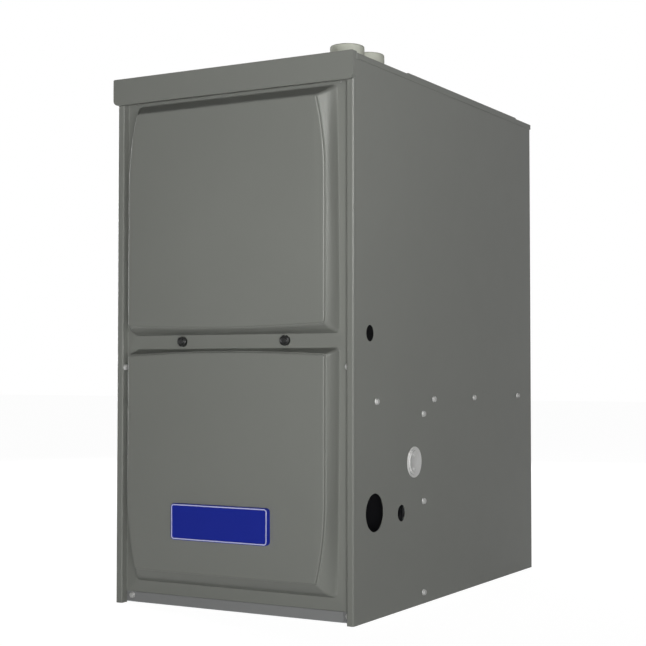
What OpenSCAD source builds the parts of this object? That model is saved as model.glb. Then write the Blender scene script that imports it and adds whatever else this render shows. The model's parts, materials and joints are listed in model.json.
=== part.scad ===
// Forced air gas furnace: a steel cabinet with two lift-off doors, three burners above and
// a blower below. Millimetres. X is to the right, Y to the back, Z up, and the origin lies on
// the floor under the middle of the whole furnace. Most depths below are counted from the
// plane of the cabinet's front flanges towards the back, and are turned into Y by block() and
// its relatives.

/* [Cabinet] */
// Width over the side walls
cab_w = 436; // [428:1:500]
// Depth from the front flanges to the back wall
cab_d = 714; // [706:1:780]
// Height of the top panel
cab_h = 846; // [836:1:920]
// Thickness of the cabinet sheet
sheet = 1; // [0.8:0.1:1.4]
// Width of the front flanges
flange_w = 12; // [10:1:16]
// Depth of the flanges' inward returns, where the doors lie
door_recess = 12; // [9:1:15]
// Width of the ledges that the doors rest against
ledge_w = 16; // [12:1:20]
// Radius of the cabinet's bends, at the middle of the sheet
bend_r = 2; // [1.5:0.5:3]

/* [Header trim] */
// How far the header stands in front of the cabinet
head_proud = 7.5; // [6:0.5:10]
// How far the header stands out at each side
head_side = 4.25; // [4:0.25:6]
// How far the header rises above the top panel
head_rise = 1; // [0.5:0.5:8]
// Height of the header's front
head_h = 42.5; // [36:0.5:50]
// How far the header's side and top walls reach back from its front
head_wrap = 11; // [10:0.5:14]
// Radius of the header's lower corners
head_corner = 9; // [4:0.5:12]
// Thickness of the header
head_t = 1.2; // [1:0.1:2]

/* [Doors] */
// Height of the seam between the two doors
seam_z = 408; // [400:1:416]
// Gap between a door and what is next to it
door_gap = 0.5; // [0.4:0.1:1]
// Gap between a door and the ledges behind it
door_rest_gap = 0.3; // [0.3:0.1:0.6]
// Side play between a door and the flange returns
door_side_gap = 1.5; // [1:0.25:3]
// How far the raised panels stand out from the door borders
panel_rise = 33; // [20:1:38]
// Half width of the raised panels where they are widest
panel_half_w = 180; // [168:1:184]
// Height of the middle of the barrel outline
barrel_z = 422.5; // [416:0.5:428]
// Height each way from there over which the panel sides are straight
barrel_straight = 240; // [200:5:280]
// Radius of the panel sides beyond that
barrel_r = 500; // [450:10:900]
// Border between the upper panel's foot and the seam, with the knobs on it
latch_strip_h = 22; // [19:0.5:26]
// Flat border over the upper panel, under the header
upper_border = 3.5; // [1:0.5:8]
// Drop of the upper panel's bevel at its top
upper_bevel_top = 16; // [12:0.5:24]
// Width of the two bevels beside the knob strip
inner_bevel = 10; // [7:0.5:12]
// Width of the lower panel's bevel at its foot
lower_bevel_foot = 22; // [14:0.5:26]
// Bow of the panel edges that face the knob strip
inner_bow = 4.5; // [0:0.5:5]
// Flat border under the lower panel
lower_border = 19.5; // [12:0.5:24]
// Width of the bevel beside the panels where it is narrowest
side_bevel = 8.5; // [6:0.5:12]
// How much the bevel's outer side closes in at the top and bottom ends
side_bow = 4.5; // [0:0.5:8]

/* [Knobs and badge] */
// Diameter of the door knobs
knob_d = 16; // [14:0.5:18]
// How far the knobs stand out from the strip
knob_h = 6.5; // [3:0.5:8]
// Distance of each knob from the middle
knob_x = 95; // [80:1:110]
// Length of the latch bar behind each knob
latch_bar = 14; // [12:0.5:16]
// Width of the badge plate
badge_w = 176.5; // [120:0.5:190]
// Height of the badge plate
badge_h = 56; // [40:1:62]
// Thickness of the badge plate
badge_t = 8; // [3:0.5:10]
// Offset of the badge plate to the right
badge_x = -1; // [-8:1:8]
// Height of the badge plate's middle
badge_z = 140; // [130:1:160]

/* [Side holes] */
// Diameter of the gas pipe hole
gas_hole_d = 25; // [22:1:28]
// Diameter of the large service hole
service_hole_d = 58; // [50:1:60]
// Diameter of the drain hole
drain_hole_d = 26; // [22:1:28]
// Diameter of the plugged hole
plug_hole_d = 44; // [40:1:46]
// Diameter of the plug's flange
plug_d = 49; // [48:1:58]

/* [Vent collars] */
// Bore of the collars, for pipe of 48.3 mm outer diameter
vent_bore = 48.6; // [48.4:0.1:49]
// Outer diameter of the collars
vent_outer = 54; // [52:1:58]
// Distance of the collars' middles from the right wall
vent_inset = 63; // [60:1:66]
// Depth of the exhaust collar's middle behind the front
exhaust_d = 97; // [95:1:99]
// Depth of the air intake collar's middle behind the front
intake_d = 165; // [162:1:168]
// Height of the collars above the top panel
vent_rise = 33.5; // [30:0.5:45]

/* [Duct opening] */
// Distance of the duct flanges from the side walls
duct_inset = 20; // [16:1:24]
// Depth behind the front at which the duct opening starts
duct_front = 225; // [224:1:240]
// Distance of the duct opening from the back
duct_back = 25; // [20:1:32]
// Height of the duct flanges
duct_flange = 11.5; // [8:0.5:20]

/* [Inside layout] */
// Height of the top of the blower deck
deck_z = 338; // [336:1:344]
// Depth of the wall between burners and heat exchanger
vestibule_d = 215; // [213:1:218]
// Height of the burners
burner_z = 690; // [684:1:700]
// Distance between burners
burner_pitch = 90; // [84:1:92]
// Diameter of the heat exchanger tubes
tube_d = 44; // [40:1:46]
// Wall of the heat exchanger tubes
tube_wall = 1.5; // [1:0.25:2]
// Height between passes of the heat exchanger tubes
tube_pass = 76; // [70:1:80]

/* [Blower] */
// Diameter of the blower wheel
wheel_d = 230; // [210:1:232]
// Width of the blower wheel
wheel_w = 180; // [150:1:186]
// Number of blades on the blower wheel
wheel_blades = 36; // [24:1:44]
// Width of the blower housing
scroll_w = 230; // [222:1:240]
// Depth of the blower's axis behind the front
blower_d = 475; // [470:1:485]
// Height of the blower's axis
blower_z = 166; // [164:1:170]
// Diameter of the blower shaft
shaft_d = 12.7; // [12:0.1:14]

/* [Inducer] */
// Distance of the inducer's axis to the left of the exhaust pipe
inducer_x_off = 80; // [78:1:84]
// Height of the inducer's axis
inducer_z = 490; // [486:1:496]
// Diameter of the inducer wheel
inducer_wheel_d = 108; // [96:1:112]
// Depth of the inducer volute
volute_depth = 65; // [56:1:68]

/* [Fasteners] */
// Across flats of the hex screws
hex_af = 8; // [7:0.5:9]
// Diameter of the screws' washer faces
washer_d = 10.4; // [9:0.1:12]
// Height of the screw heads with their washers
head_screw_h = 4.2; // [3:0.1:4.2]
// Diameter of the screws' shanks
shank_d = 3.8; // [3:0.1:4]

/* [Hidden] */
$fn = 48;
eps = 0.01;
hs = sheet / 2;
half_w = cab_w / 2;
gap = 0.1;                       // Clearance between fixed pieces that face each other
fit_gap = 0.5;                   // Clearance of partitions inside the cabinet's bends
run_gap = 0.05;                  // Radial clearance of a shaft in its bore
hole_gap = 0.2;                  // Radial clearance of a screw in its hole

// The whole furnace: what stands out in front, and the screws behind
overall_d = panel_rise - door_recess + badge_t + cab_d + head_screw_h;
front_y = -overall_d / 2 + panel_rise - door_recess + badge_t;

// Cabinet
wall_top = cab_h - sheet;
inner_w = half_w - sheet - fit_gap;             // Reach of the partitions to each side
inner_back = cab_d - sheet - fit_gap;           // and to the back
ret_x = half_w - flange_w + hs;                 // Middle of a flange's return
ret_in = ret_x - hs;                            // Inner face of a return
ledge_d = door_recess + sheet + door_rest_gap;  // Front of the ledges
ledge_in = ret_x - ledge_w;                     // Inner edge of a ledge
ledge_foot = 20;                                // The ledges end above the base rail
lip_h = 9;                                      // Turned-down lips of the top panel

// Header
head_w = cab_w + 2 * head_side;
head_top = cab_h + head_rise;
head_foot = head_top - head_h;

// Doors
door_half_w = ret_in - door_side_gap;
door_back = door_recess + sheet;
panel_face = door_recess - panel_rise;          // Depth of the panel faces, in front of zero
upper_z = [seam_z + door_gap, head_foot - door_gap];
lower_z = [18.5, seam_z - door_gap];
barrel_half_h = barrel_z - lower_z[0] - lower_border;
upper_bevel_z = [upper_z[0] + latch_strip_h - door_gap, upper_z[1] - upper_border];
lower_bevel_z = [lower_z[0] + lower_border, lower_z[1]];
upper_panel_z = [upper_bevel_z[0] + inner_bevel + inner_bow, upper_bevel_z[1] - upper_bevel_top];
lower_panel_z = [lower_bevel_z[0] + lower_bevel_foot, lower_bevel_z[1] - inner_bevel];
bevel_corner = 7;                               // Corner radius of the bevel's outer edge
panel_corner = 5;                               // Corner radius of the panel's edge
edge_roll = 2.5;                                // Rolled edge of the panel's face
far_bow = 0.4;                                  // Bow of the panel edges at the far ends
roll_angle = 55;                                // End of the bevel's rounded profile, degrees
profile_steps = 5;
side_steps = 12;
end_steps = 8;
corner_steps = 4;

// Knobs
knob_z = seam_z + 11.5;
knob_neck_d = 8;
stud_d = 4;
bar_t = 2;
bar_h = 3;
knob_cut = 4;                                   // Screwdriver slot in each knob

// Cross rail between the doors, with the latch slots
rail_d = ledge_d + sheet;
rail_depth = 24;
rail_z = [seam_z - 12, knob_z + latch_bar / 2 + 9];
slot_gap = 1;
bar_d = rail_d + sheet + 1.5;                   // Front of the latch bar
deck_front = rail_d + rail_depth + 2;

// Base rail
base_rail_d = door_recess + 5;
base_tab_d = base_rail_d + 3;
base_rail_z = [1.2, 17];
base_rail_half_w = half_w - 26;
base_flange_d = base_tab_d + sheet;             // Upright front edge of the bottom panel
base_screw = [half_w - 18.5, 11];               // X and Z of its screws, both sides

// Condensate collector on the front of the vestibule wall, and the drain hose under it
coll_depth = 40;
coll_t = 3;
hose_at = vestibule_d - coll_depth / 2;

brace_d = vestibule_d + 21;                     // Middle of the side braces

// Side wall holes: [depth behind the front, height]
gas_hole = [53, 430];
service_hole = [67.5, 160];
drain_hole = [hose_at - 37.5, 151.5];
plug_hole = [brace_d - 34, 228.5];

// Screws of the side walls: [depth behind the front, height]
deck_screw_z = deck_z - 11;
deck_screws = [for (f = [0.102, 0.387, 0.617, 0.9]) [f * cab_d, deck_screw_z]];
brace_screws = [for (z = [deck_z - 34, deck_z / 2 - 5]) [brace_d, z]];
foot_screws = [[brace_d, 18]];
side_screws_at = concat(deck_screws, brace_screws, foot_screws);
back_screws_at = [for (x = [-0.36, 0, 0.36], z = [deck_screw_z, 18]) [x * cab_w, z]];
flange_screw = [door_recess - 5.5, seam_z - 28.5];  // Depth and height, on both returns

// Vent collars
vent_x = half_w - vent_inset;
vent_top = cab_h + vent_rise;
vent_flange_d = vent_outer + 12;
vent_flange_t = 2;
vent_stop = 4;                                  // Inner ring between field pipe and own pipe
vent_stop_z = cab_h + 1;
pipe_d = vent_bore - 0.3;
pipe_wall = 3;

// Duct opening in the top panel
duct_half_w = half_w - duct_inset;
duct_end = cab_d - duct_back;

// Bottom panel and return air opening
base_t = 1.2;
base_edge = 26;                                 // Height of its upturned edges
return_margin = [48, 64, 74];                    // Beside, in front of and behind the opening
return_half_w = half_w - return_margin[0];
return_span = [brace_d + return_margin[1], cab_d - return_margin[2]];
return_lip = 9;

// Burners, counted from the left
first_burner = 88;                              // From the left wall
burner_xs = [for (i = [0:2]) -half_w + first_burner + i * burner_pitch];
burner_mid_x = burner_xs[1];
box_margin = [50, 46, 52];                      // Beside, below and above the burners
box_half_w = burner_pitch + box_margin[0];
box_x = [burner_mid_x - box_half_w, burner_mid_x + box_half_w];
box_z = [burner_z - box_margin[1], burner_z + box_margin[2]];
box_front = 84;
box_t = 1;
burner_tube_d = 32;
burner_mouth = box_front + 12;
burner_end = vestibule_d - 28;
manifold_d = 21.3;
manifold_at = 50;                               // Depth of the manifold's axis
orifice_d = 12;

// Gas valve, under the manifold
valve_x = burner_mid_x;
valve_w = 84;
valve_depth = [18, 82];
valve_drop = [132, 62];                         // From the burners to its foot and its top
valve_z = [burner_z - valve_drop[0], burner_z - valve_drop[1]];
gas_bore_r = 10.3;                              // Pipe thread of 1/2 inch, at its mouth
gas_boss_d = 30;
gas_boss_h = 14;
switch_w = 12;
switch_travel = 6;
switch_slot_x = [valve_x - switch_w / 2 - switch_travel / 2 - 0.5,
                 valve_x + switch_w / 2 + switch_travel / 2 + 0.5];
switch_slot_z = [valve_z[1] - 36, valve_z[1] - 26];

// Roll-out switches on the burner box, and their reset buttons
rollout_xs = [burner_xs[0] + burner_pitch / 2, burner_xs[2] - burner_pitch / 2];
rollout_d = box_front + 40;
rollout_r = 12;
button_travel = 2;
button_d = 6;

// Limit switch and pressure switch on the vestibule wall
limit_at = [burner_xs[2] + burner_pitch - 8, burner_z - 114];
limit_probe_d = 10;
switch_at = [-half_w + 66, inducer_z + 44];
pressure_switch_d = 66;
nipple_d = 5;

// Heat exchanger
hx_front = vestibule_d + sheet;
bend_x_r = tube_pass / 2;
header_depth = 56;
header_clear = 18;                              // Behind the rear header box
header_d = cab_d - header_clear - header_depth; // Front of the rear header box
bend_clear = [30, 60];                          // Far bends to header, near bends to wall
hx_far = header_d - bend_clear[0];              // Depth of the far bends' middles
hx_near = hx_front + bend_clear[1];
pass_z = [for (i = [0:2]) burner_z - i * tube_pass];
coil_lift = 14;
coil_h = 98;
coil_z = [deck_z + coil_lift, deck_z + coil_lift + coil_h];
coil_side = 46;                                 // Between the coil and the side walls
coil_half_w = half_w - coil_side;
header_z = [coil_z[0] - 2, pass_z[2] + tube_d / 2 + 10];
coil_edge = 20;                                 // Left free beside the tubes
coil_gap = 14;                                  // From the end plates to the fins
coil_d = [hx_front + coil_gap, header_d - coil_gap];
fin_count = 24;
fin_t = 1;
fin_pitch = (coil_d[1] - coil_d[0]) / fin_count;
coil_plate_t = 2;
coil_tube_d = 16;
coil_rows = 3;
coil_columns = 6;
coil_tube_at = [for (i = [0:coil_columns - 1], j = [0:coil_rows - 1])
    [(i - (coil_columns - 1) / 2) * (2 * coil_half_w - 2 * coil_edge) / coil_columns
         + (j % 2) * coil_tube_d,
     coil_z[0] + coil_h * (j + 0.5) / coil_rows]];

coll_x = [-coil_half_w, coil_half_w];
inducer_x = vent_x - inducer_x_off;
volute_d = [exhaust_d - volute_depth / 2, exhaust_d + volute_depth / 2];
port_r = 48;
port_in_r = 30;

// Inducer
volute_r0 = inducer_wheel_d / 2 + 13;
volute_r1 = inducer_x_off + 25;
volute_a0 = 42;
volute_top = inducer_z + 68;
volute_neck_h = 26;
volute_t = 1.5;
volute_left = inducer_x - volute_r0
    - (volute_r1 - volute_r0) * (180 - volute_a0) / (360 - volute_a0);
hose_tap = [volute_left - 12, volute_d[0] + 24];  // End of the volute's hose nipple
inducer_shaft_d = 8;
inducer_motor_d = 84;
inducer_motor_z = [volute_d[0] - 58, volute_d[0] - 6];

// Blower
wheel_in_d = wheel_d - 44;
wheel_plate_x = -14;
scroll_half_w = scroll_w / 2;
scroll_a0 = 100;
scroll_r0 = wheel_d / 2 + 8;
scroll_r1 = wheel_d / 2 + 34;
scroll_t = 1;
inlet_d = wheel_in_d + 8;
outlet_d = [blower_d + scroll_r0 * cos(scroll_a0), blower_d + scroll_r1];
outlet_z = deck_z - sheet;
motor_d = 138;
motor_x = [6, scroll_half_w + 34];
motor_nose_d = 40;
band_w = 16;
arm_t = 3;

// Control panel in the lower compartment
panel_d = brace_d - 10;
panel_x = [-half_w + 26, 26];
panel_z = [70, 296];
board_x = [panel_x[0] + 14, panel_x[0] + 150];
board_z = [150, 280];
board_t = 1.6;
standoff = 8;
board_front = panel_d - standoff - board_t;

// Wires: X and depth of their way through the deck, X and Z of that through the panel
harness_hole_d = 18;
harness_deck = [-half_w + 36, hose_at - 5];
harness_panel = [board_x[0] + 30, board_z[0] - 22];

// Condensate trap at the right wall, in front
trap_x = [half_w - 82, half_w - 24];
trap_d = [hose_at - 59, hose_at + 15];
trap_z = [96, 206];
spigot_d = 21.4;
hose_d = 19;
hose_x = trap_x[0] + 24;
hose_hole_d = hose_d + 6;

// Door switch, on the underside of the deck
door_switch_x = -panel_half_w + 54;
door_switch_z = [deck_z - 60, deck_z - 24];
door_switch_mid = (door_switch_z[0] + door_switch_z[1]) / 2;
striker_w = 26;
door_switch_d = [18, 48];
plunger_d = 6;
plunger_travel = 4;

painted = [0.46, 0.47, 0.44];
side_paint = [0.40, 0.41, 0.39];
zinc = [0.72, 0.73, 0.74];
galvanised = [0.66, 0.68, 0.70];
aluminised = [0.58, 0.58, 0.57];
black_plastic = [0.06, 0.06, 0.07];
cast_metal = [0.60, 0.61, 0.62];
brass = [0.78, 0.62, 0.28];

// ---- Placing helpers: x and z as they are, d is depth behind the front flanges ----

module block(x, d, z) {
    translate([x[0], front_y + d[0], z[0]])
        cube([x[1] - x[0], d[1] - d[0], z[1] - z[0]]);
}

module rod_x(x, d, z, dia) {
    translate([x[0], front_y + d, z]) rotate([0, 90, 0]) cylinder(d = dia, h = x[1] - x[0]);
}

module rod_y(x, d, z, dia) {
    translate([x, front_y + d[0], z]) rotate([-90, 0, 0]) cylinder(d = dia, h = d[1] - d[0]);
}

module rod_z(x, d, z, dia) {
    translate([x, front_y + d, z[0]]) cylinder(d = dia, h = z[1] - z[0]);
}

// A flat shape drawn in x and z, as a plate from depth d to depth d + t
module upright(d, t) {
    translate([0, front_y + d + t, 0]) rotate([90, 0, 0]) linear_extrude(t) children();
}

// A flat shape drawn in depth and z, as a plate from x to x + t
module sideways(x, t) {
    translate([x, front_y, 0]) rotate([90, 0, 90]) linear_extrude(t) children();
}

// Both sides alike
module both_sides() {
    children();
    mirror([1, 0, 0]) children();
}

// Unit vector from one point of a path to another
function unit(a, b) = (b - a) / norm(b - a);

// Section of a sheet of thickness t that follows pts in the plane, with bends of radius r
module bent_strip(pts, t, r) {
    last = len(pts) - 1;
    for (i = [0:last - 1]) {
        u = unit(pts[i], pts[i + 1]);
        from = i == 0 ? 0 : r;
        to = norm(pts[i + 1] - pts[i]) - (i == last - 1 ? 0 : r);
        translate(pts[i]) rotate(atan2(u[1], u[0])) translate([from, -t / 2])
            square([to - from, t]);
    }
    for (i = [1:last - 1]) {
        u = unit(pts[i - 1], pts[i]);
        v = unit(pts[i], pts[i + 1]);
        far = r + t;
        translate(pts[i] - u * r + v * r) intersection() {
            difference() {
                circle(r + t / 2);
                circle(r - t / 2);
            }
            polygon([[0, 0], -v * far, (u - v) * far, u * far]);
        }
    }
}

// Rectangle on the x axis with its lower corners rounded by foot_r and its upper by top_r
module tablet(w, h, foot_r, top_r) {
    difference() {
        translate([-w / 2, 0]) square([w, h]);
        for (s = [0, 1]) mirror([s, 0]) {
            translate([-w / 2, 0]) corner_waste(foot_r);
            translate([-w / 2, h]) mirror([0, 1]) corner_waste(top_r);
        }
    }
}

module corner_waste(r) {
    difference() {
        translate([-1, -1]) square(r + 1);
        translate([r, r]) circle(r);
    }
}

// Hex washer screw along +Z: the washer sits on z = 0 and the shank goes below it
module hex_screw(shank) {
    washer_t = head_screw_h / 4;
    cylinder(d = washer_d, h = washer_t);
    cylinder(d = hex_af / cos(30), h = head_screw_h, $fn = 6);
    translate([0, 0, -shank]) cylinder(d = shank_d, h = shank + washer_t);
}

module side_screw_spots(dia, span) {
    both_sides() for (p = side_screws_at) rod_x([half_w - span, half_w + 1], p[0], p[1], dia);
}

module back_screw_spots(dia, span) {
    for (p = back_screws_at) rod_y(p[0], [cab_d - span, cab_d + 1], p[1], dia);
}

// ---- Cabinet ----

module casing() {
    hole = shank_d + 2 * hole_gap;
    color(side_paint) difference() {
        translate([0, front_y, 0]) linear_extrude(wall_top) casing_section();
        for (s = [-1, 1]) {
            x = s > 0 ? [ledge_in - 1, ret_in] : [-ret_in, -ledge_in + 1];
            block(x, [ledge_d - 1, ledge_d + sheet + 1], [-1, ledge_foot]);
        }
        wall_hole(gas_hole, gas_hole_d);
        wall_hole(service_hole, service_hole_d);
        wall_hole(drain_hole, drain_hole_d);
        wall_hole(plug_hole, plug_hole_d);
        side_screw_spots(hole, sheet + 1);
        back_screw_spots(hole, sheet + 1);
        both_sides() rod_x([ret_in - 1, ret_x + 1], flange_screw[0], flange_screw[1], hole);
    }
}

module casing_section() {
    right = [
        [half_w - hs, cab_d - hs], [half_w - hs, hs], [ret_x, hs],
        [ret_x, ledge_d + hs], [ledge_in, ledge_d + hs]
    ];
    left = [for (i = [len(right) - 1:-1:0]) [-right[i][0], right[i][1]]];
    bent_strip(concat(left, right), sheet, bend_r);
}

module wall_hole(at, dia) {
    rod_x([half_w - sheet - 1, half_w + 1], at[0], at[1], dia);
}

module top_panel() {
    outer = half_w + sheet;
    plate = [cab_h - sheet, cab_h];
    lip = [cab_h - lip_h, cab_h - sheet];
    color(painted) difference() {
        union() {
            block([-outer, outer], [0, cab_d + sheet], plate);
            both_sides() block([half_w, outer], [head_wrap, cab_d + sheet], lip);
            block([-half_w, half_w], [cab_d, cab_d + sheet], lip);
            block([-ledge_in + 1, ledge_in - 1], [ledge_d, ledge_d + sheet],
                  [head_foot - 14, cab_h - sheet]);
            block([-duct_half_w - sheet, duct_half_w + sheet],
                  [duct_front - sheet, duct_end + sheet], [cab_h, cab_h + duct_flange]);
        }
        block([-duct_half_w, duct_half_w], [duct_front, duct_end],
              [cab_h - sheet - 1, cab_h + duct_flange + 1]);
        for (d = [exhaust_d, intake_d])
            rod_z(vent_x, d, [cab_h - sheet - 1, cab_h + 1], vent_outer + 2 * hole_gap);
    }
}

module header_trim() {
    inside = half_w + sheet + gap;
    color(painted) difference() {
        union() {
            upright(-head_proud, head_t) translate([0, head_foot]) header_outline(0);
            upright(-head_proud, head_wrap) translate([0, head_foot]) difference() {
                header_outline(0);
                translate([0, head_t]) header_outline(head_t);
            }
        }
        block([-inside, inside], [0, head_wrap], [head_foot - 1, cab_h + gap]);
    }
}

module header_outline(inset) {
    tablet(head_w - 2 * inset, head_h - 2 * inset, head_corner - inset, bend_r - inset / 2);
}

module base_rail() {
    back = base_tab_d + 12;
    tab_in = base_rail_half_w - sheet;
    color(painted) difference() {
        union() {
            block([-base_rail_half_w, base_rail_half_w], [base_rail_d, base_rail_d + sheet],
                  base_rail_z);
            block([-base_rail_half_w, base_rail_half_w], [base_rail_d, base_flange_d],
                  [base_rail_z[1] - sheet, base_rail_z[1]]);
            both_sides() {
                block([tab_in, base_rail_half_w], [base_rail_d, base_tab_d + sheet], base_rail_z);
                block([tab_in, half_w - sheet - door_side_gap], [base_tab_d, base_tab_d + sheet],
                      base_rail_z);
            }
        }
        both_sides() rod_y(base_screw[0], [base_tab_d - 1, back], base_screw[1],
                           shank_d + 2 * hole_gap);
    }
}

module bottom_panel() {
    front = base_flange_d;
    hole = shank_d + 2 * hole_gap;
    color(galvanised) difference() {
        union() {
            block([-inner_w, inner_w], [front, inner_back], [0, base_t]);
            block([-inner_w, inner_w], [front, front + base_t], [0, base_edge]);
            block([-inner_w, inner_w], [inner_back - base_t, inner_back], [0, base_edge]);
            both_sides() block([inner_w - base_t, inner_w], [front, inner_back], [0, base_edge]);
            block([-return_half_w - base_t, return_half_w + base_t],
                  [return_span[0] - base_t, return_span[1] + base_t], [0, return_lip]);
        }
        block([-return_half_w, return_half_w], return_span, [-1, return_lip + 1]);
        side_screw_spots(hole, sheet + 6);
        back_screw_spots(hole, sheet + 6);
        both_sides() rod_y(base_screw[0], [front - 1, front + 6], base_screw[1], hole);
    }
}

// ---- Partitions ----

module blower_deck() {
    flange = [deck_z - 22, deck_z];
    hole = shank_d + 2 * hole_gap;
    color(galvanised) difference() {
        union() {
            block([-inner_w, inner_w], [deck_front, inner_back], [deck_z - sheet, deck_z]);
            block([-inner_w, inner_w], [deck_front, deck_front + sheet], flange);
            block([-inner_w, inner_w], [inner_back - sheet, inner_back], flange);
            both_sides() block([inner_w - sheet, inner_w], [deck_front, inner_back], flange);
        }
        block([-scroll_half_w + 1, scroll_half_w - 1],
              [outlet_d[0] + 1, outlet_d[1] - 1], [deck_z - sheet - 1, deck_z + 1]);
        rod_z(hose_x, hose_at, [deck_z - sheet - 1, deck_z + 1], hose_hole_d);
        rod_z(harness_deck[0], harness_deck[1], [deck_z - sheet - 1, deck_z + 1],
              harness_hole_d);
        side_screw_spots(hole, sheet + 6);
        back_screw_spots(hole, sheet + 6);
    }
}

module vestibule_panel() {
    top = wall_top - gap;
    color(galvanised) difference() {
        union() {
            block([-inner_w, inner_w], [vestibule_d, vestibule_d + sheet], [deck_z + gap, top]);
            both_sides() block([inner_w - sheet, inner_w], [vestibule_d - 18, vestibule_d],
                               [deck_z + gap, top]);
        }
        for (x = burner_xs)
            rod_y(x, [vestibule_d - 1, vestibule_d + sheet + 1], burner_z, tube_d - 2 * tube_wall);
        block([-coil_half_w + 10, coil_half_w - 10], [vestibule_d - 1, vestibule_d + sheet + 1],
              [coil_z[0] + 6, coil_z[1] - 6]);
        limit_hole();
    }
}

module limit_hole() {
    rod_y(limit_at[0], [vestibule_d - 1, vestibule_d + sheet + 1], limit_at[1], limit_probe_d + 2);
}

module cross_rail() {
    flanges = [rail_z[0], rail_z[1] - sheet];
    x = ret_in - gap;
    color(painted) difference() {
        union() {
            block([-x, x], [rail_d, rail_d + sheet], rail_z);
            for (z = flanges) block([-x, x], [rail_d, rail_d + rail_depth], [z, z + sheet]);
        }
        both_sides() block([knob_x - latch_bar / 2 - slot_gap, knob_x + latch_bar / 2 + slot_gap],
                           [rail_d - 1, rail_d + sheet + 1],
                           [knob_z - bar_h / 2 - slot_gap, knob_z + bar_h / 2 + slot_gap]);
    }
}

module side_braces() {
    z = [base_edge + 2, deck_z - 24];
    hole = shank_d + 2 * hole_gap;
    color(galvanised) difference() {
        both_sides() {
            block([inner_w - sheet, inner_w], [brace_d - 10, brace_d + 10], z);
            block([inner_w - 24, inner_w], [brace_d - 10, brace_d - 10 + sheet], z);
        }
        side_screw_spots(hole, sheet + 6);
    }
}

// ---- Doors ----

// Half width of the raised panels' faces at height z
function panel_reach(z) =
    let (u = max(0, abs(z - barrel_z) - barrel_straight))
    panel_half_w - barrel_r + sqrt(barrel_r * barrel_r - u * u);

// Half width of the bevels' outer edges at height z
function bevel_reach(z) =
    panel_half_w + side_bevel - side_bow * pow((z - barrel_z) / barrel_half_h, 2);

// Closed outline of a panel or of its bevel, counter-clockwise from the lower left corner:
// wide says whose sides it follows, bow bends its ends out, inset moves it inwards
function panel_outline(z, wide, bow, r, inset) =
    let (
        foot = z[0] + inset,
        top = z[1] - inset,
        reach = function (h) (wide ? bevel_reach(h) : panel_reach(h)) - inset,
        foot_x = reach(foot + r) - r,
        top_x = reach(top - r) - r
    ) concat(
        [for (i = [0:end_steps]) let (u = 2 * i / end_steps - 1)
            [u * foot_x, foot - bow[0] * (1 - u * u)]],
        [for (k = [1:corner_steps - 1]) let (a = -90 + 90 * k / corner_steps)
            [foot_x + r * cos(a), foot + r + r * sin(a)]],
        [for (i = [0:side_steps]) let (h = foot + r + (top - foot - 2 * r) * i / side_steps)
            [reach(h), h]],
        [for (k = [1:corner_steps - 1]) let (a = 90 * k / corner_steps)
            [top_x + r * cos(a), top - r + r * sin(a)]],
        [for (i = [0:end_steps]) let (u = 1 - 2 * i / end_steps)
            [u * top_x, top + bow[1] * (1 - u * u)]],
        [for (k = [1:corner_steps - 1]) let (a = 90 + 90 * k / corner_steps)
            [-top_x + r * cos(a), top - r + r * sin(a)]],
        [for (i = [0:side_steps]) let (h = top - r - (top - foot - 2 * r) * i / side_steps)
            [-reach(h), h]],
        [for (k = [1:corner_steps - 1]) let (a = 180 + 90 * k / corner_steps)
            [-foot_x + r * cos(a), foot + r + r * sin(a)]]
    );

// One skin of the pressed shell: rings from the border to the panel's face
function shell_rings(bevel_z, panel_z, bow, inset) =
    let (
        outer = panel_outline(bevel_z, true, [0, 0], bevel_corner, inset),
        edge = panel_outline(panel_z, false, bow, panel_corner, inset),
        face = panel_outline([panel_z[0] + edge_roll, panel_z[1] - edge_roll], false, bow,
                             panel_corner, inset + edge_roll / 2),
        rise = panel_rise - edge_roll / 2
    ) concat(
        [for (k = [0:profile_steps]) let (
            a = roll_angle * k / profile_steps,
            s = (1 - cos(a)) / (1 - cos(roll_angle)),
            g = sin(a) / sin(roll_angle)
        ) ring_at(outer + s * (edge - outer), door_recess + inset - rise * g)],
        [ring_at(face, panel_face + inset)]
    );

function ring_at(outline, d) = [for (p = outline) [p[0], front_y + d, p[1]]];

// Quads between the rings of a skin whose first point has number first, seen from inside
function skin_quads(rings, n, first) = [for (k = [0:rings - 2], i = [0:n - 1])
    let (j = (i + 1) % n, a = first + k * n) [a + i, a + j, a + n + j, a + n + i]];

// Pressed shell of a door: the outside skin starts at the border's back, where the inside
// skin, one sheet further in, starts as well
module pressed_shell(bevel_z, panel_z, bow) {
    foot = ring_at(panel_outline(bevel_z, true, [0, 0], bevel_corner, 0), door_back);
    out = concat([foot], shell_rings(bevel_z, panel_z, bow, 0));
    in = shell_rings(bevel_z, panel_z, bow, sheet);
    n = len(foot);
    out_last = n * (len(out) - 1);
    in_first = n * len(out);
    in_last = in_first + n * (len(in) - 1);
    faces = concat(
        [for (q = skin_quads(len(out), n, 0)) [q[0], q[3], q[2], q[1]]],
        [[for (i = [n - 1:-1:0]) out_last + i]],
        skin_quads(len(in), n, in_first),
        [[for (i = [0:n - 1]) in_last + i]],
        [for (i = [0:n - 1]) let (j = (i + 1) % n) [i, j, in_first + j, in_first + i]]
    );
    polyhedron(concat([for (ring = out) each ring], [for (ring = in) each ring]), faces);
}

// Border of a door, with the place of the pressed shell cut out
module door_border(z, bevel_z) {
    upright(door_recess, sheet) difference() {
        translate([-door_half_w, z[0]]) square([2 * door_half_w, z[1] - z[0]]);
        polygon(panel_outline(bevel_z, true, [0, 0], bevel_corner, sheet / 2));
    }
}

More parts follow.
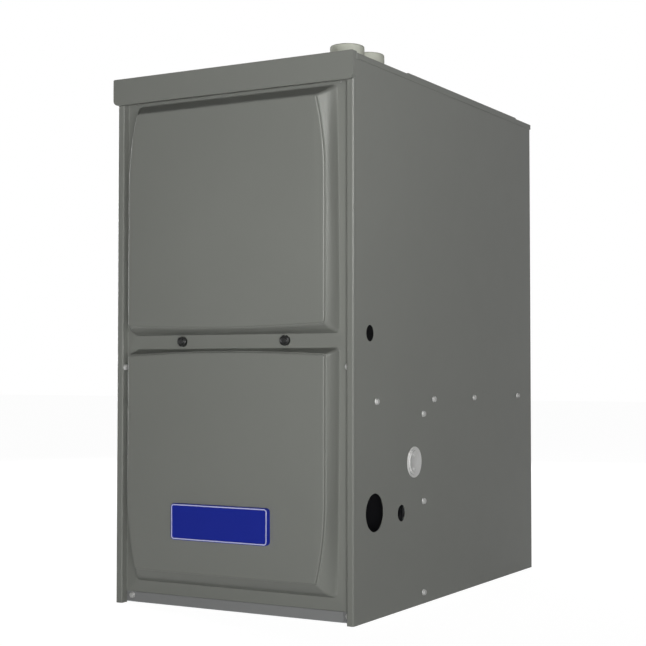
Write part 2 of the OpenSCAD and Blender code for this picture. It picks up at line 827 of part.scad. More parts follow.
module upper_door() {
    color(painted) union() {
        difference() {
            door_border(upper_z, upper_bevel_z);
            both_sides() rod_y(knob_x, [door_recess - 1, door_back + 1], knob_z,
                               knob_neck_d + 2 * run_gap);
        }
        pressed_shell(upper_bevel_z, upper_panel_z, [inner_bow, far_bow]);
    }
}

module lower_door() {
    notch = washer_d / 2 + 1.5;
    color(painted) union() {
        difference() {
            door_border(lower_z, lower_bevel_z);
            both_sides() block([ret_in - head_screw_h - 1.5, ret_in], [door_recess - 1, door_back + 1],
                               [flange_screw[1] - notch, flange_screw[1] + notch]);
        }
        pressed_shell(lower_bevel_z, lower_panel_z, [far_bow, inner_bow]);
    }
}

// Foil-faced blanket glued inside the lower door's pressed panel
module lower_door_liner() {
    liner_t = 10;
    margin = 26;
    back = panel_face + sheet;
    spare = striker_w / 2 + 4;
    color([0.78, 0.79, 0.80]) difference() {
        block([-panel_half_w + margin, panel_half_w - margin], [back, back + liner_t],
              [lower_panel_z[0] + margin, lower_panel_z[1] - margin / 2]);
        block([door_switch_x - spare, door_switch_x + spare], [back - 1, back + liner_t + 1],
              [door_switch_mid - spare, door_switch_mid + spare]);
    }
}

// Bracket spot-welded inside the lower door; it works the door switch
module door_striker() {
    x = [door_switch_x - striker_w / 2, door_switch_x + striker_w / 2];
    d = [panel_face + sheet, door_back];
    z = [door_switch_mid - striker_w / 2, door_switch_mid + striker_w / 2];
    t = 1.5;
    color(galvanised) difference() {
        block(x, d, z);
        block([x[0] - 1, x[1] + 1], [d[0] + t, d[1] - t], [z[0] + t, z[1] - t]);
        block([x[0] - 1, x[1] + 1], [d[0] - 1, d[0] + t + 1], [z[0] + 8, z[1] - 8]);
    }
}

module badge_plate() {
    rim = 3;
    rim_h = 0.8;
    corner = 6;
    color([0.10, 0.15, 0.50]) translate([badge_x, 0, 0]) difference() {
        upright(panel_face - badge_t, badge_t) translate([0, badge_z - badge_h / 2])
            tablet(badge_w, badge_h, corner, corner);
        upright(panel_face - badge_t - 1, rim_h + 1)
            translate([0, badge_z - badge_h / 2 + rim])
            tablet(badge_w - 2 * rim, badge_h - 2 * rim, corner - rim / 2, corner - rim / 2);
    }
}

module door_knob(x) {
    front = door_recess - knob_h;
    color(black_plastic) difference() {
        union() {
            translate([x, front_y + door_recess - eps, knob_z]) rotate([90, 0, 0])
                rotate_extrude() knob_profile();
            rod_y(x, [door_recess - 1, door_back + 1], knob_z, knob_neck_d);
            rod_y(x, [door_back, bar_d + bar_t], knob_z, stud_d);
            block([x - latch_bar / 2, x + latch_bar / 2], [bar_d, bar_d + bar_t],
                  [knob_z - bar_h / 2, knob_z + bar_h / 2]);
        }
        block([x - knob_cut, x + knob_cut], [front - 1, front + 1.6],
              [knob_z - 1, knob_z + 1]);
    }
}

// Half section of a knob: a flat face inside a ring, with a rounded rim
module knob_profile() {
    r = knob_d / 2;
    round_r = 1.2;
    dish = 1.2;
    difference() {
        square([r, knob_h]);
        translate([r - round_r, knob_h - round_r]) difference() {
            square(round_r + 1);
            circle(round_r);
        }
        translate([r * 0.62, knob_h - dish]) square([r * 0.16, dish + 1]);
    }
}

// ---- What the flue and air pipes need ----

module vent_collar(d) {
    r = vent_outer / 2;
    bore_r = vent_bore / 2;
    rim = 2;
    foot = 14;
    color([0.80, 0.80, 0.76]) translate([vent_x, front_y + d, 0]) rotate_extrude() difference() {
        union() {
            translate([0, cab_h - foot]) square([r, vent_top - cab_h + foot]);
            translate([0, cab_h]) square([vent_flange_d / 2, vent_flange_t]);
        }
        translate([0, cab_h - foot - 1]) square([bore_r, vent_stop_z - cab_h + foot + 1]);
        translate([0, vent_stop_z - 1]) square([bore_r - vent_stop, vent_top]);
        translate([0, vent_stop_z + vent_stop]) square([bore_r, vent_top]);
        translate([r - rim, vent_top - rim]) difference() {
            square(rim + 1);
            circle(rim);
        }
    }
}

module exhaust_pipe() {
    z = [volute_top + 2, vent_stop_z - 0.5];
    color([0.88, 0.88, 0.84]) difference() {
        rod_z(vent_x, exhaust_d, z, pipe_d);
        rod_z(vent_x, exhaust_d, [z[0] - 1, z[1] + 1], pipe_d - 2 * pipe_wall);
    }
}

// Air pipe from its collar down and to the left into the burner box
module intake_pipe() {
    r = 40;
    z = burner_z + 4;
    end_x = box_x[1] - 4;
    bore = pipe_d - 2 * pipe_wall;
    color([0.88, 0.88, 0.84]) union() {
        difference() {
            rod_z(vent_x, intake_d, [z + r, vent_stop_z - 0.5], pipe_d);
            rod_z(vent_x, intake_d, [z + r - 1, vent_stop_z + 1], bore);
        }
        difference() {
            rod_x([end_x, vent_x - r], intake_d, z, pipe_d);
            rod_x([end_x - 1, vent_x - r + 1], intake_d, z, bore);
        }
        translate([vent_x - r, front_y + intake_d, z + r]) rotate([90, 0, 0])
            rotate([0, 0, -90]) rotate_extrude(angle = 90) translate([r, 0]) difference() {
                circle(d = pipe_d);
                circle(d = bore);
            }
    }
}

module hole_plug() {
    lip = 2.2;
    ring = 2.5;
    plug_r = plug_hole_d / 2 - gap;
    color([0.62, 0.63, 0.62]) translate([half_w, front_y + plug_hole[0], plug_hole[1]])
        rotate([0, 90, 0]) rotate_extrude() difference() {
            union() {
                square([plug_d / 2, lip]);
                translate([0, -8]) square([plug_r, 8 + lip / 2]);
            }
            translate([0, -9]) square([plug_r - ring, 9 - ring / 2]);
            translate([plug_d / 2 - 7, lip - 1]) square([2.5, 2]);
            translate([0, lip - 0.8]) square([plug_d / 5, 2]);
        }
}

// ---- Fasteners ----

module side_screws() {
    color(zinc) both_sides() for (p = side_screws_at)
        translate([half_w, front_y + p[0], p[1]]) rotate([0, 90, 0]) hex_screw(8);
}

module back_screws() {
    color(zinc) for (p = back_screws_at)
        translate([p[0], front_y + cab_d, p[1]]) rotate([-90, 0, 0]) hex_screw(8);
}

// Screws on the flange returns and on the base rail's tabs
module front_screws() {
    color(zinc) both_sides() {
        translate([ret_in, front_y + flange_screw[0], flange_screw[1]]) rotate([0, -90, 0])
            hex_screw(8);
        translate([base_screw[0], front_y + base_tab_d, base_screw[1]]) rotate([90, 0, 0])
            hex_screw(8);
    }
}

// ---- Heat exchanger ----

module primary_exchanger() {
    color(aluminised) for (x = burner_xs) difference() {
        tube_run(x, tube_d, 0);
        tube_run(x, tube_d - 2 * tube_wall, 1);
    }
}

// One tube: in at the vestibule wall, back, forward and back again into the rear header
module tube_run(x, dia, over) {
    rod_y(x, [hx_front - over, hx_far], pass_z[0], dia);
    rod_y(x, [hx_near, hx_far], pass_z[1], dia);
    rod_y(x, [hx_near, header_d + over], pass_z[2], dia);
    tube_bend(x, hx_far, (pass_z[0] + pass_z[1]) / 2, 0, dia);
    tube_bend(x, hx_near, (pass_z[1] + pass_z[2]) / 2, 180, dia);
}

module tube_bend(x, d, z, turn, dia) {
    translate([x, front_y + d, z]) rotate([turn, 0, 0]) rotate([0, 90, 0])
        rotate_extrude(angle = 180) translate([bend_x_r, 0]) circle(d = dia);
}

module rear_header_box() {
    t = 1.5;
    x = [-coil_half_w, coil_half_w];
    d = [header_d, header_d + header_depth];
    color(aluminised) difference() {
        block(x, d, header_z);
        block([x[0] + t, x[1] - t], [d[0] + t, d[1] - t], [header_z[0] + t, header_z[1] - t]);
        for (x = burner_xs) rod_y(x, [d[0] - 1, d[0] + t + 1], pass_z[2], tube_d - 2 * tube_wall);
        block([x[0] + 20, x[1] - 20], [d[0] - 1, d[0] + t + 1], [coil_z[0] + 10, coil_z[1] - 10]);
    }
}

// Second heat exchanger: tubes from the vestibule wall to the rear header box
module coil_tubes() {
    color(galvanised) for (p = coil_tube_at) difference() {
        rod_y(p[0], [hx_front + gap, header_d - gap], p[1], coil_tube_d);
        rod_y(p[0], [hx_front, header_d], p[1], coil_tube_d - 2);
    }
}

// Its end plates and fins, each a separate sheet on the tubes
module coil_fins() {
    for (d = [hx_front + gap, header_d - gap - coil_plate_t]) coil_sheet(d, coil_plate_t);
    for (i = [0:fin_count]) coil_sheet(coil_d[0] + i * fin_pitch, fin_t);
}

module coil_sheet(d, t) {
    color(galvanised) difference() {
        block([-coil_half_w, coil_half_w], [d, d + t], coil_z);
        for (p = coil_tube_at) rod_y(p[0], [d - 1, d + t + 1], p[1], coil_tube_d + 2 * run_gap);
    }
}

// Plastic box that gathers flue gas and water, with the inducer's port standing forward
module condensate_collector() {
    d = [vestibule_d - coll_depth, vestibule_d - gap];
    color(black_plastic) difference() {
        union() {
            block(coll_x, d, coil_z);
            rod_y(inducer_x, [volute_d[1] + gap, d[1]], inducer_z, 2 * port_r);
            block([inducer_x - port_r, inducer_x + port_r], d, [coil_z[0], inducer_z]);
            rod_z(hose_x, hose_at, [coil_z[0] - 12, coil_z[0] + coll_t], hose_d - 4);
        }
        block([coll_x[0] + coll_t, coll_x[1] - coll_t], [d[0] + coll_t, d[1] + 1],
              [coil_z[0] + coll_t, coil_z[1] - coll_t]);
        rod_y(inducer_x, [volute_d[1] + gap + coll_t, d[1] + 1], inducer_z,
              2 * (port_r - coll_t));
        rod_y(inducer_x, [volute_d[1] - 1, d[1]], inducer_z, 2 * port_in_r);
        block([inducer_x - port_r + coll_t, inducer_x + port_r - coll_t],
              [d[0] + coll_t, d[1] + 1], [coil_z[0] + coll_t, inducer_z]);
        rod_z(hose_x, hose_at, [coil_z[0] - 13, coil_z[0] + coll_t + 1], hose_d - 8);
    }
}

// ---- Inducer ----

// Outline of a fan housing, in the plane: a spiral round c from angle a0 to 360 degrees,
// then straight up to height top
function scroll_outline(c, r0, r1, a0, top, inset) = concat(
    [for (i = [0:24]) let (a = a0 + (360 - a0) * i / 24, r = r0 + (r1 - r0) * i / 24 - inset)
        [c[0] + r * cos(a), c[1] + r * sin(a)]],
    [[c[0] + r1 - inset, top], [c[0] + r0 * cos(a0) + inset, top],
     [c[0] + r0 * cos(a0) + inset, c[1] + (r0 - inset) * sin(a0)]]
);

module inducer_volute() {
    c = [inducer_x, inducer_z];
    neck_z = [volute_top, volute_top + volute_neck_h];
    color(black_plastic) difference() {
        union() {
            upright(volute_d[0], volute_depth)
                polygon(scroll_outline(c, volute_r0, volute_r1, volute_a0, volute_top, 0));
            rod_z(vent_x, exhaust_d, neck_z - [eps, 0], pipe_d + 2 * pipe_wall);
            rod_y(c[0], [volute_d[0] - 6, volute_d[0] + 1], c[1], inducer_motor_d - 14);
            rod_x([hose_tap[0], volute_left + 1], hose_tap[1], c[1], nipple_d);
        }
        upright(volute_d[0] + volute_t, volute_depth - 2 * volute_t)
            polygon(scroll_outline(c, volute_r0, volute_r1, volute_a0, volute_top - volute_t,
                                   volute_t));
        rod_z(vent_x, exhaust_d, [volute_top - volute_t - 1, neck_z[1] + 1], pipe_d - 2 * pipe_wall);
        rod_z(vent_x, exhaust_d, [volute_top + 2, neck_z[1] + 1], pipe_d + gap);
        rod_y(c[0], [volute_d[1] - volute_t - 1, volute_d[1] + 1], c[1], 2 * port_in_r);
        rod_y(c[0], [volute_d[0] - 7, volute_d[0] + volute_t + 1], c[1], inducer_shaft_d + 6);
    }
}

module inducer_motor() {
    c = [inducer_x, inducer_z];
    d = inducer_motor_z;
    slots = 10;
    color([0.12, 0.12, 0.13]) difference() {
        union() {
            rod_y(c[0], [d[0], d[1]], c[1], inducer_motor_d - 10);
            rod_y(c[0], [d[0] + 14, d[1] - 10], c[1], inducer_motor_d);
            rod_y(c[0], [d[0] - 8, d[0] + 1], c[1], 30);
        }
        rod_y(c[0], [d[0] + 20, d[1] + 1], c[1], inducer_shaft_d + 2 * run_gap);
        for (i = [0:slots - 1]) translate([c[0], front_y + d[0] - 1, c[1]])
            rotate([0, 360 * i / slots, 0]) translate([24, 0, -2]) cube([9, 5, 4]);
    }
}

module inducer_shaft() {
    color(zinc) rod_y(inducer_x, [inducer_motor_z[0] + 24, volute_d[1] - 14], inducer_z,
                      inducer_shaft_d);
}

module inducer_wheel() {
    blades = 16;
    back = volute_d[1] - 10;
    depth = 30;
    r = inducer_wheel_d / 2;
    hub = [back - depth - 2, back - 6];
    color(aluminised) difference() {
        union() {
            rod_y(inducer_x, [back - depth - 2, back - depth], inducer_z, inducer_wheel_d);
            rod_y(inducer_x, hub, inducer_z, 22);
            for (i = [0:blades - 1]) translate([inducer_x, front_y + back - depth - 1, inducer_z])
                rotate([0, 360 * i / blades, 0]) translate([r - 24, 0, 0]) rotate([0, 30, 0])
                    translate([0, 0, -0.75]) cube([22, depth + 1, 1.5]);
        }
        rod_y(inducer_x, [hub[0] - 1, hub[1] + 1], inducer_z, inducer_shaft_d);
    }
}

// ---- Burners and gas train ----

module burner_box() {
    t = box_t;
    back = vestibule_d - gap;
    color(galvanised) difference() {
        block(box_x, [box_front, back], box_z);
        block([box_x[0] + t, box_x[1] - t], [box_front + t, back + 1], [box_z[0] + t, box_z[1] - t]);
        for (x = burner_xs) rod_y(x, [box_front - 1, box_front + t + 1], burner_z, orifice_d + 2);
        rod_x([box_x[1] - t - 1, box_x[1] + 1], intake_d, burner_z + 4, pipe_d + 2 * gap);
        rod_y(burner_xs[0] - 34, [box_front - 1, box_front + t + 1], burner_z - 20, 6.4);
        rod_y(burner_xs[2] + 34, [box_front - 1, box_front + t + 1], burner_z - 20, 6.4);
        for (x = rollout_xs) rod_z(x, rollout_d, [box_z[1] - t - 1, box_z[1] + 1], 8.4);
    }
}

module burners() {
    t = 1.2;
    color(aluminised) difference() {
        union() {
            for (x = burner_xs) translate([x, front_y, burner_z]) rotate([-90, 0, 0])
                rotate_extrude() burner_section(t);
            block([burner_xs[0] - 30, burner_xs[2] + 30], [burner_end - 6, burner_end - 6 + t],
                  [burner_z - 26, burner_z + 26]);
        }
        for (x = burner_xs) rod_y(x, [burner_end - 8, burner_end], burner_z,
                                  burner_tube_d - 2 * t);
    }
}

// Half section of one burner, along its axis: a bell mouth, a throat and the flame head
module burner_section(t) {
    r = burner_tube_d / 2;
    throat = r * 0.62;
    m = burner_mouth;
    e = burner_end;
    polygon([
        [r, m], [throat, m + 16], [throat, m + 36], [r, m + 52], [r, e],
        [r - t, e], [r - t, m + 52.5], [throat - t, m + 36.5], [throat - t, m + 15.5], [r - t, m]
    ]);
}

module gas_manifold() {
    x = [burner_xs[0] - 18, burner_xs[2] + 18];
    color([0.30, 0.30, 0.31]) difference() {
        union() {
            rod_x(x, manifold_at, burner_z, manifold_d);
            rod_z(valve_x, manifold_at, [valve_z[1], burner_z], manifold_d);
            for (e = x) rod_x([e - 5, e + 5], manifold_at, burner_z, manifold_d + 5);
            for (b = burner_xs) rod_y(b, [manifold_at, manifold_at + 15], burner_z, 16);
            for (s = [0, 1]) block([x[s] - 9, x[s] + 9], [manifold_at + 9, box_front],
                                   [burner_z + 4, burner_z + 7]);
        }
        rod_x([x[0] + 3, x[1] - 3], manifold_at, burner_z, manifold_d - 6);
        rod_z(valve_x, manifold_at, [valve_z[1] - 1, burner_z], manifold_d - 6);
        for (b = burner_xs) rod_y(b, [manifold_at, manifold_at + 16], burner_z, 8);
    }
}

module gas_orifices() {
    color(brass) for (x = burner_xs) difference() {
        union() {
            rod_y(x, [manifold_at + 11, manifold_at + 15], burner_z, 8);
            translate([x, front_y + manifold_at + 15, burner_z]) rotate([-90, 0, 0])
                cylinder(d = orifice_d, h = 8, $fn = 6);
            rod_y(x, [manifold_at + 23, box_front + 4], burner_z, 7);
        }
        rod_y(x, [manifold_at + 10, box_front + 5], burner_z, 2);
    }
}

module gas_valve() {
    x = [valve_x - valve_w / 2, valve_x + valve_w / 2];
    deep = valve_depth;
    color(cast_metal) difference() {
        union() {
            block(x, [deep[0] + 12, deep[1]], [valve_z[0] + 10, valve_z[1] - 8]);
            block([x[0] + 8, x[1] - 8], [deep[0], deep[0] + 13], [valve_z[0] + 18, valve_z[1] - 14]);
            rod_z(valve_x, manifold_at, [valve_z[0] - gas_boss_h, valve_z[0] + 11], gas_boss_d);
            rod_z(valve_x, manifold_at, [valve_z[1] - 9, valve_z[1]], gas_boss_d);
            for (s = [-1, 1]) rod_z(valve_x + s * 26, manifold_at, [valve_z[1] - 9, valve_z[1] + 3], 12);
        }
        rod_z(valve_x, manifold_at, [valve_z[0] - gas_boss_h - 1, valve_z[0] + 6], 2 * gas_bore_r);
        block(switch_slot_x, [deep[0] - 1, deep[0] + 6], switch_slot_z);
    }
}

// Slide switch of the valve, at the left end of its slot, which is on
module gas_valve_switch() {
    x = [switch_slot_x[0] + 0.5, switch_slot_x[0] + 0.5 + switch_w];
    z = [switch_slot_z[0] + 0.5, switch_slot_z[1] - 0.5];
    rib = 1.2;
    color([0.75, 0.12, 0.08]) difference() {
        block(x, [valve_depth[0] - 4, valve_depth[0] + 5.5], z);
        for (i = [1:4]) block([x[0] + i * 2.4 - rib / 2, x[0] + i * 2.4 + rib / 2],
                              [valve_depth[0] - 5, valve_depth[0] - 3], [z[0] - 1, z[1] + 1]);
    }
}

// Hot surface igniter: ceramic block on the box front, with its element near the right burner
module igniter() {
    x = burner_xs[2] + 34;
    z = burner_z - 20;
    color([0.90, 0.89, 0.85]) union() {
        block([x - 9, x + 9], [box_front - 8, box_front], [z - 12, z + 12]);
        rod_y(x, [box_front - 1, box_front + 46], z, 6);
        rod_y(x, [box_front + 46, box_front + 84], z, 3.2);
    }
}

module flame_sensor() {
    x = burner_xs[0] - 34;
    z = burner_z - 20;
    color([0.85, 0.83, 0.78]) union() {
        block([x - 7, x + 7], [box_front - 3, box_front], [z - 12, z + 12]);
        rod_y(x, [box_front - 14, box_front + 34], z, 6);
        rod_y(x, [box_front + 34, box_front + 86], z, 2.4);
        rod_y(x, [box_front - 22, box_front - 14], z, 3);
    }
}

module rollout_switches() {
    z = box_z[1];
    color([0.16, 0.16, 0.17]) for (x = rollout_xs) difference() {
        union() {
            rod_z(x, rollout_d, [z, z + 14], 2 * rollout_r);
            block([x - 20, x + 20], [rollout_d - 8, rollout_d + 8], [z, z + 1.5]);
            rod_z(x, rollout_d, [z - 5, z + 1], 8);
            for (s = [-1, 1]) block([x + s * 7 - 0.5, x + s * 7 + 0.5],
                                    [rollout_d + 3, rollout_d + 9], [z + 13, z + 22]);
        }
        rod_z(x, rollout_d - 4, [z + 7, z + 15], button_d + 2 * run_gap);
    }
}

// Push button on a roll-out switch, standing up; it goes down to reset the switch
module reset_button(x) {
    z = box_z[1];
    color([0.80, 0.10, 0.08])
        rod_z(x, rollout_d - 4, [z + 7 + button_travel + 0.5, z + 17.5], button_d);
}

module limit_switch() {
    x = limit_at[0];
    z = limit_at[1];
    color([0.16, 0.16, 0.17]) union() {
        rod_y(x, [vestibule_d - 14, vestibule_d - gap], z, 26);
        block([x - 18, x + 18], [vestibule_d - 2, vestibule_d - gap], [z - 14, z + 14]);
        rod_y(x, [vestibule_d - 1, vestibule_d + 62], z, limit_probe_d);
    }
}

module pressure_switch() {
    x = switch_at[0];
    z = switch_at[1];
    d = vestibule_d - gap;
    color([0.20, 0.21, 0.23]) union() {
        rod_y(x, [d - 26, d - 20], z, pressure_switch_d - 18);
        rod_y(x, [d - 20, d - 8], z, pressure_switch_d);
        rod_y(x, [d - 8, d], z, 24);
        rod_y(x, [d - 41, d - 26], z, nipple_d);
        for (s = [-1, 1]) block([x + s * 10 - 3, x + s * 10 + 3], [d - 36, d - 26], [z + 11, z + 12]);
    }
}

// ---- Hoses and wires: tubes swept along points ----

// Ring of n points round p, square to the direction t
function tube_ring(p, t, r, n) =
    let (
        side = unit([0, 0, 0], cross(t, abs(t[2]) < 0.9 ? [0, 0, 1] : [1, 0, 0])),
        up = cross(side, t)
    ) [for (i = [0:n - 1]) p + r * (cos(360 * i / n) * side + sin(360 * i / n) * up)];

// Smooth curve through the points: a Catmull-Rom spline with a few steps between points
function spline(pts, steps) = concat(
    [for (i = [0:len(pts) - 2], k = [0:steps - 1]) let (
        a = pts[max(i - 1, 0)], b = pts[i], c = pts[i + 1], d = pts[min(i + 2, len(pts) - 1)],
        t = k / steps
    ) 0.5 * (2 * b + (c - a) * t + (2 * a - 5 * b + 4 * c - d) * t * t
             + (3 * b - a - 3 * c + d) * t * t * t)],
    [pts[len(pts) - 1]]
);

module tube_along(pts, dia, n = 8) {
    last = len(pts) - 1;
    dirs = [for (i = [0:last]) unit(pts[max(i - 1, 0)], pts[min(i + 1, last)])];
    points = [for (i = [0:last]) each tube_ring(pts[i], dirs[i], dia / 2, n)];
    faces = concat(
        [[for (i = [n - 1:-1:0]) i]],
        [[for (i = [0:n - 1]) last * n + i]],
        [for (k = [0:last - 1], i = [0:n - 1]) let (j = (i + 1) % n)
            [k * n + i, k * n + j, (k + 1) * n + j, (k + 1) * n + i]]
    );
    polyhedron(points, faces);
}

function place(x, d, z) = [x, front_y + d, z];

// From the pressure switch to the nipple on the inducer's housing
module pressure_hose() {
    x = switch_at[0];
    z = switch_at[1];
    d = vestibule_d - gap - 30;
    route = [
        place(x, d, z), place(x, d - 18, z), place(x + 8, d - 42, z - 8),
        place(x + 34, d - 58, z - 34),
        place((x + hose_tap[0]) / 2 + 10, hose_tap[1] + 2, (z + inducer_z) / 2 - 4),
        place(hose_tap[0] - 8, hose_tap[1], inducer_z),
        place(hose_tap[0] + 10, hose_tap[1], inducer_z)
    ];
    color([0.70, 0.30, 0.12]) difference() {
        tube_along(spline(route, 4), 9);
        rod_x([hose_tap[0] - gap, hose_tap[0] + 11], hose_tap[1], inducer_z, nipple_d + gap);
        rod_y(x, [d - 12, d + 1], z, nipple_d + gap);
    }
}

module condensate_trap() {
    t = 2.5;
    port = hose_d - 4;
    color([0.16, 0.17, 0.18]) difference() {
        union() {
            block(trap_x, trap_d, trap_z);
            rod_z(hose_x, hose_at, [trap_z[1], trap_z[1] + 16], port);
            rod_x([trap_x[1], half_w - 6], drain_hole[0], drain_hole[1], spigot_d);
            block([trap_x[0], trap_x[1]], [trap_d[0] - 4, trap_d[1] + 4], [trap_z[1] - 4, trap_z[1]]);
            block([trap_x[1], inner_w], [trap_d[0] + 8, trap_d[0] + 20],
                  [trap_z[0] + 12, trap_z[0] + 16]);
        }
        block([trap_x[0] + t, trap_x[1] - t], [trap_d[0] + t, trap_d[1] - t],
              [trap_z[0] + t, trap_z[1] - t]);
        rod_z(hose_x, hose_at, [trap_z[1] - t - 1, trap_z[1] + 17], port - 4);
        rod_x([trap_x[1] - t - 1, half_w - 5], drain_hole[0], drain_hole[1], spigot_d - 5);
    }
}

// Short hose from the collector's port through the deck to the trap's port
module drain_hose() {
    port = hose_d - 4;
    z = [trap_z[1] + 2, coil_z[0] - 2];
    color([0.10, 0.10, 0.11]) difference() {
        union() {
            rod_z(hose_x, hose_at, z, hose_d);
            for (e = [z[0] + 3, z[1] - 9]) rod_z(hose_x, hose_at, [e, e + 6], hose_d + 3);
        }
        rod_z(hose_x, hose_at, [z[0] - 1, z[1] + 1], port);
    }
}

// ---- Blower ----

// Sheet that runs round the wheel, between the housing's sides
module blower_wrap() {
    c = [blower_d, blower_z];
    half = scroll_half_w - scroll_t - gap;
    color(galvanised) sideways(-half, 2 * half) difference() {
        polygon(scroll_outline(c, scroll_r0, scroll_r1, scroll_a0, outlet_z, 0));
        polygon(scroll_outline(c, scroll_r0, scroll_r1, scroll_a0, outlet_z + 1, scroll_t));
    }
}

// One side of the blower housing, with its rolled inlet and the flange under the deck
module blower_side(s) {
    c = [blower_d, blower_z];
    roll = 8;
    x = scroll_half_w;
    color(galvanised) mirror([s < 0 ? 1 : 0, 0, 0]) union() {
        sideways(x - scroll_t, scroll_t) difference() {
            polygon(scroll_outline(c, scroll_r0, scroll_r1, scroll_a0, outlet_z, 0));
            translate(c) circle(d = inlet_d);
        }
        sideways(x - roll, roll) translate(c) difference() {
            circle(d = inlet_d + 2 * scroll_t);
            circle(d = inlet_d);
        }
        block([x - scroll_t, x + 18], outlet_d, [outlet_z - 1.5, outlet_z]);
    }
}

module blower_wheel() {
    half = wheel_w / 2;
    r_out = wheel_d / 2;
    ring = 6;
    color(galvanised) union() {
        sideways(-half, wheel_w) translate([blower_d, blower_z])
            for (i = [0:wheel_blades - 1]) rotate(360 * i / wheel_blades)
                blade(wheel_in_d / 2, r_out);
        for (x = [-half, half - ring, wheel_plate_x - ring / 2]) sideways(x, ring)
            translate([blower_d, blower_z]) difference() {
                circle(r_out);
                circle(r_out - 4);
            }
    }
}

// Disc inside the wheel, riveted between its blades, with the hub on the shaft
module blower_hub() {
    x = wheel_plate_x;
    disc_d = wheel_in_d - 2 * run_gap;
    color(galvanised) difference() {
        union() {
            rod_x([x - 1.5, x], blower_d, blower_z, disc_d);
            rod_x([x - 22, x], blower_d, blower_z, 36);
        }
        rod_x([x - 23, x + 1], blower_d, blower_z, shaft_d);
    }
}

// Section of one forward-curved blade
module blade(r_in, r_out) {
    t = 1.2;
    steps = 4;
    sweep = 9;
    function edge(r, a) = [r * cos(a), r * sin(a)];
    span = r_out - r_in - 0.5;
    outer = [for (i = [0:steps]) let (s = i / steps) edge(r_in + span * s, sweep * s * s)];
    inner = [for (i = [steps:-1:0]) let (s = i / steps, r = r_in + span * s)
        edge(r, sweep * s * s + t / r * 180 / PI)];
    polygon(concat(outer, inner));
}

module blower_shaft() {
    color(zinc) rod_x([wheel_plate_x - 34, motor_x[0] + 30], blower_d, blower_z, shaft_d);
}

module blower_motor() {
    nose = 6;
    color([0.14, 0.14, 0.15]) difference() {
        union() {
            rod_x([motor_x[0] + nose, motor_x[1]], blower_d, blower_z, motor_d - 8);
            rod_x([motor_x[0] + 16, motor_x[1] - 12], blower_d, blower_z, motor_d);
            rod_x([motor_x[0], motor_x[0] + nose + 1], blower_d, blower_z, motor_nose_d);
            rod_x([motor_x[1] - 1, motor_x[1] + 5], blower_d, blower_z, motor_nose_d);
        }
        rod_x([motor_x[0] - 1, motor_x[0] + 34], blower_d, blower_z, shaft_d + 2 * run_gap);
        for (i = [0:11]) translate([motor_x[1] - 3, front_y + blower_d, blower_z])
            rotate([30 * i, 0, 0]) translate([0, 34, -3]) cube([4, 18, 6]);
    }
}

// Belly band with three arms that end on the housing's right side plate
module motor_bracket() {
    band_x = [scroll_half_w - 2, scroll_half_w - 2 + band_w];
    arm_r = [motor_d / 2 + 1, inlet_d / 2 + 14];
    arm_w = 20;
    color(zinc) union() {
        difference() {
            rod_x(band_x, blower_d, blower_z, motor_d + 5);
            rod_x([band_x[0] - 1, band_x[1] + 1], blower_d, blower_z, motor_d + gap);
        }
        for (a = [90, 210, 330]) translate([scroll_half_w, front_y + blower_d, blower_z])
            rotate([a, 0, 0]) translate([0, arm_r[0], -arm_w / 2])
                cube([arm_t, arm_r[1] - arm_r[0], arm_w]);
    }
}

// Capacitor in a strap on the housing's left side plate
module run_capacitor() {
    x = -scroll_half_w - 20;
    d = outlet_d[0] + 40;
    z = [outlet_z - 96, outlet_z - 18];
    color([0.62, 0.64, 0.66]) union() {
        rod_z(x, d, z, 34);
        for (s = [-1, 1]) block([x + s * 6 - 3, x + s * 6 + 3], [d - 0.5, d + 0.5], [z[1] - 1, z[1] + 8]);
        block([x, -scroll_half_w], [d - 20, d + 20], [z[0] + 30, z[0] + 42]);
    }
}

// ---- Controls ----

module control_panel() {
    reach = -inner_w + sheet;
    color(galvanised) difference() {
        union() {
            block([reach, panel_x[1]], [panel_d - sheet, panel_d], panel_z);
            block([panel_x[1] - sheet, panel_x[1]], [panel_d - 12, panel_d], panel_z);
            block([reach, panel_x[1]], [panel_d - 12, panel_d], [panel_z[0], panel_z[0] + sheet]);
        }
        rod_y(harness_panel[0], [panel_d - 13, panel_d + 1], harness_panel[1], harness_hole_d);
    }
}

module control_board() {
    x = board_x;
    f = board_front;
    w = board_x[1] - board_x[0];
    h = board_z[1] - board_z[0];
    color([0.10, 0.35, 0.16]) union() {
        block(x, [f, f + board_t], board_z);
        for (u = [0.06, 0.94], v = [0.06, 0.94])
            rod_y(x[0] + u * w, [f, panel_d - sheet], board_z[0] + v * h, 6);
        for (i = [0:3]) block([x[0] + w * 0.12 + i * 24, x[0] + w * 0.12 + i * 24 + 16],
                              [f - 16, f + 1], [board_z[0] + h * 0.62, board_z[0] + h * 0.62 + 26]);
        for (i = [0:4]) block([x[0] + w * 0.15 + i * 18, x[0] + w * 0.15 + i * 18 + 10],
                              [f - 11, f + 1], [board_z[0] + h * 0.08, board_z[0] + h * 0.08 + 9]);
        block([x[0] + w * 0.2, x[0] + w * 0.5], [f - 4, f + 1],
              [board_z[0] + h * 0.34, board_z[0] + h * 0.48]);
        rod_y(x[0] + w * 0.78, [f - 14, f + 1], board_z[0] + h * 0.4, 13);
    }
}

module transformer() {
    x = [panel_x[1] - 58, panel_x[1] - 10];
    z = [panel_z[0] + 18, panel_z[0] + 74];
    back = panel_d - sheet;
    color([0.20, 0.20, 0.22]) union() {
        block([x[0], x[1]], [back - 34, back], [z[0] + 10, z[1] - 10]);
        block([x[0] + 8, x[1] - 8], [back - 42, back - 4], [z[0] + 17, z[1] - 17]);
        block([x[0] + 4, x[1] - 4], [back - 1.5, back], z);
    }
}

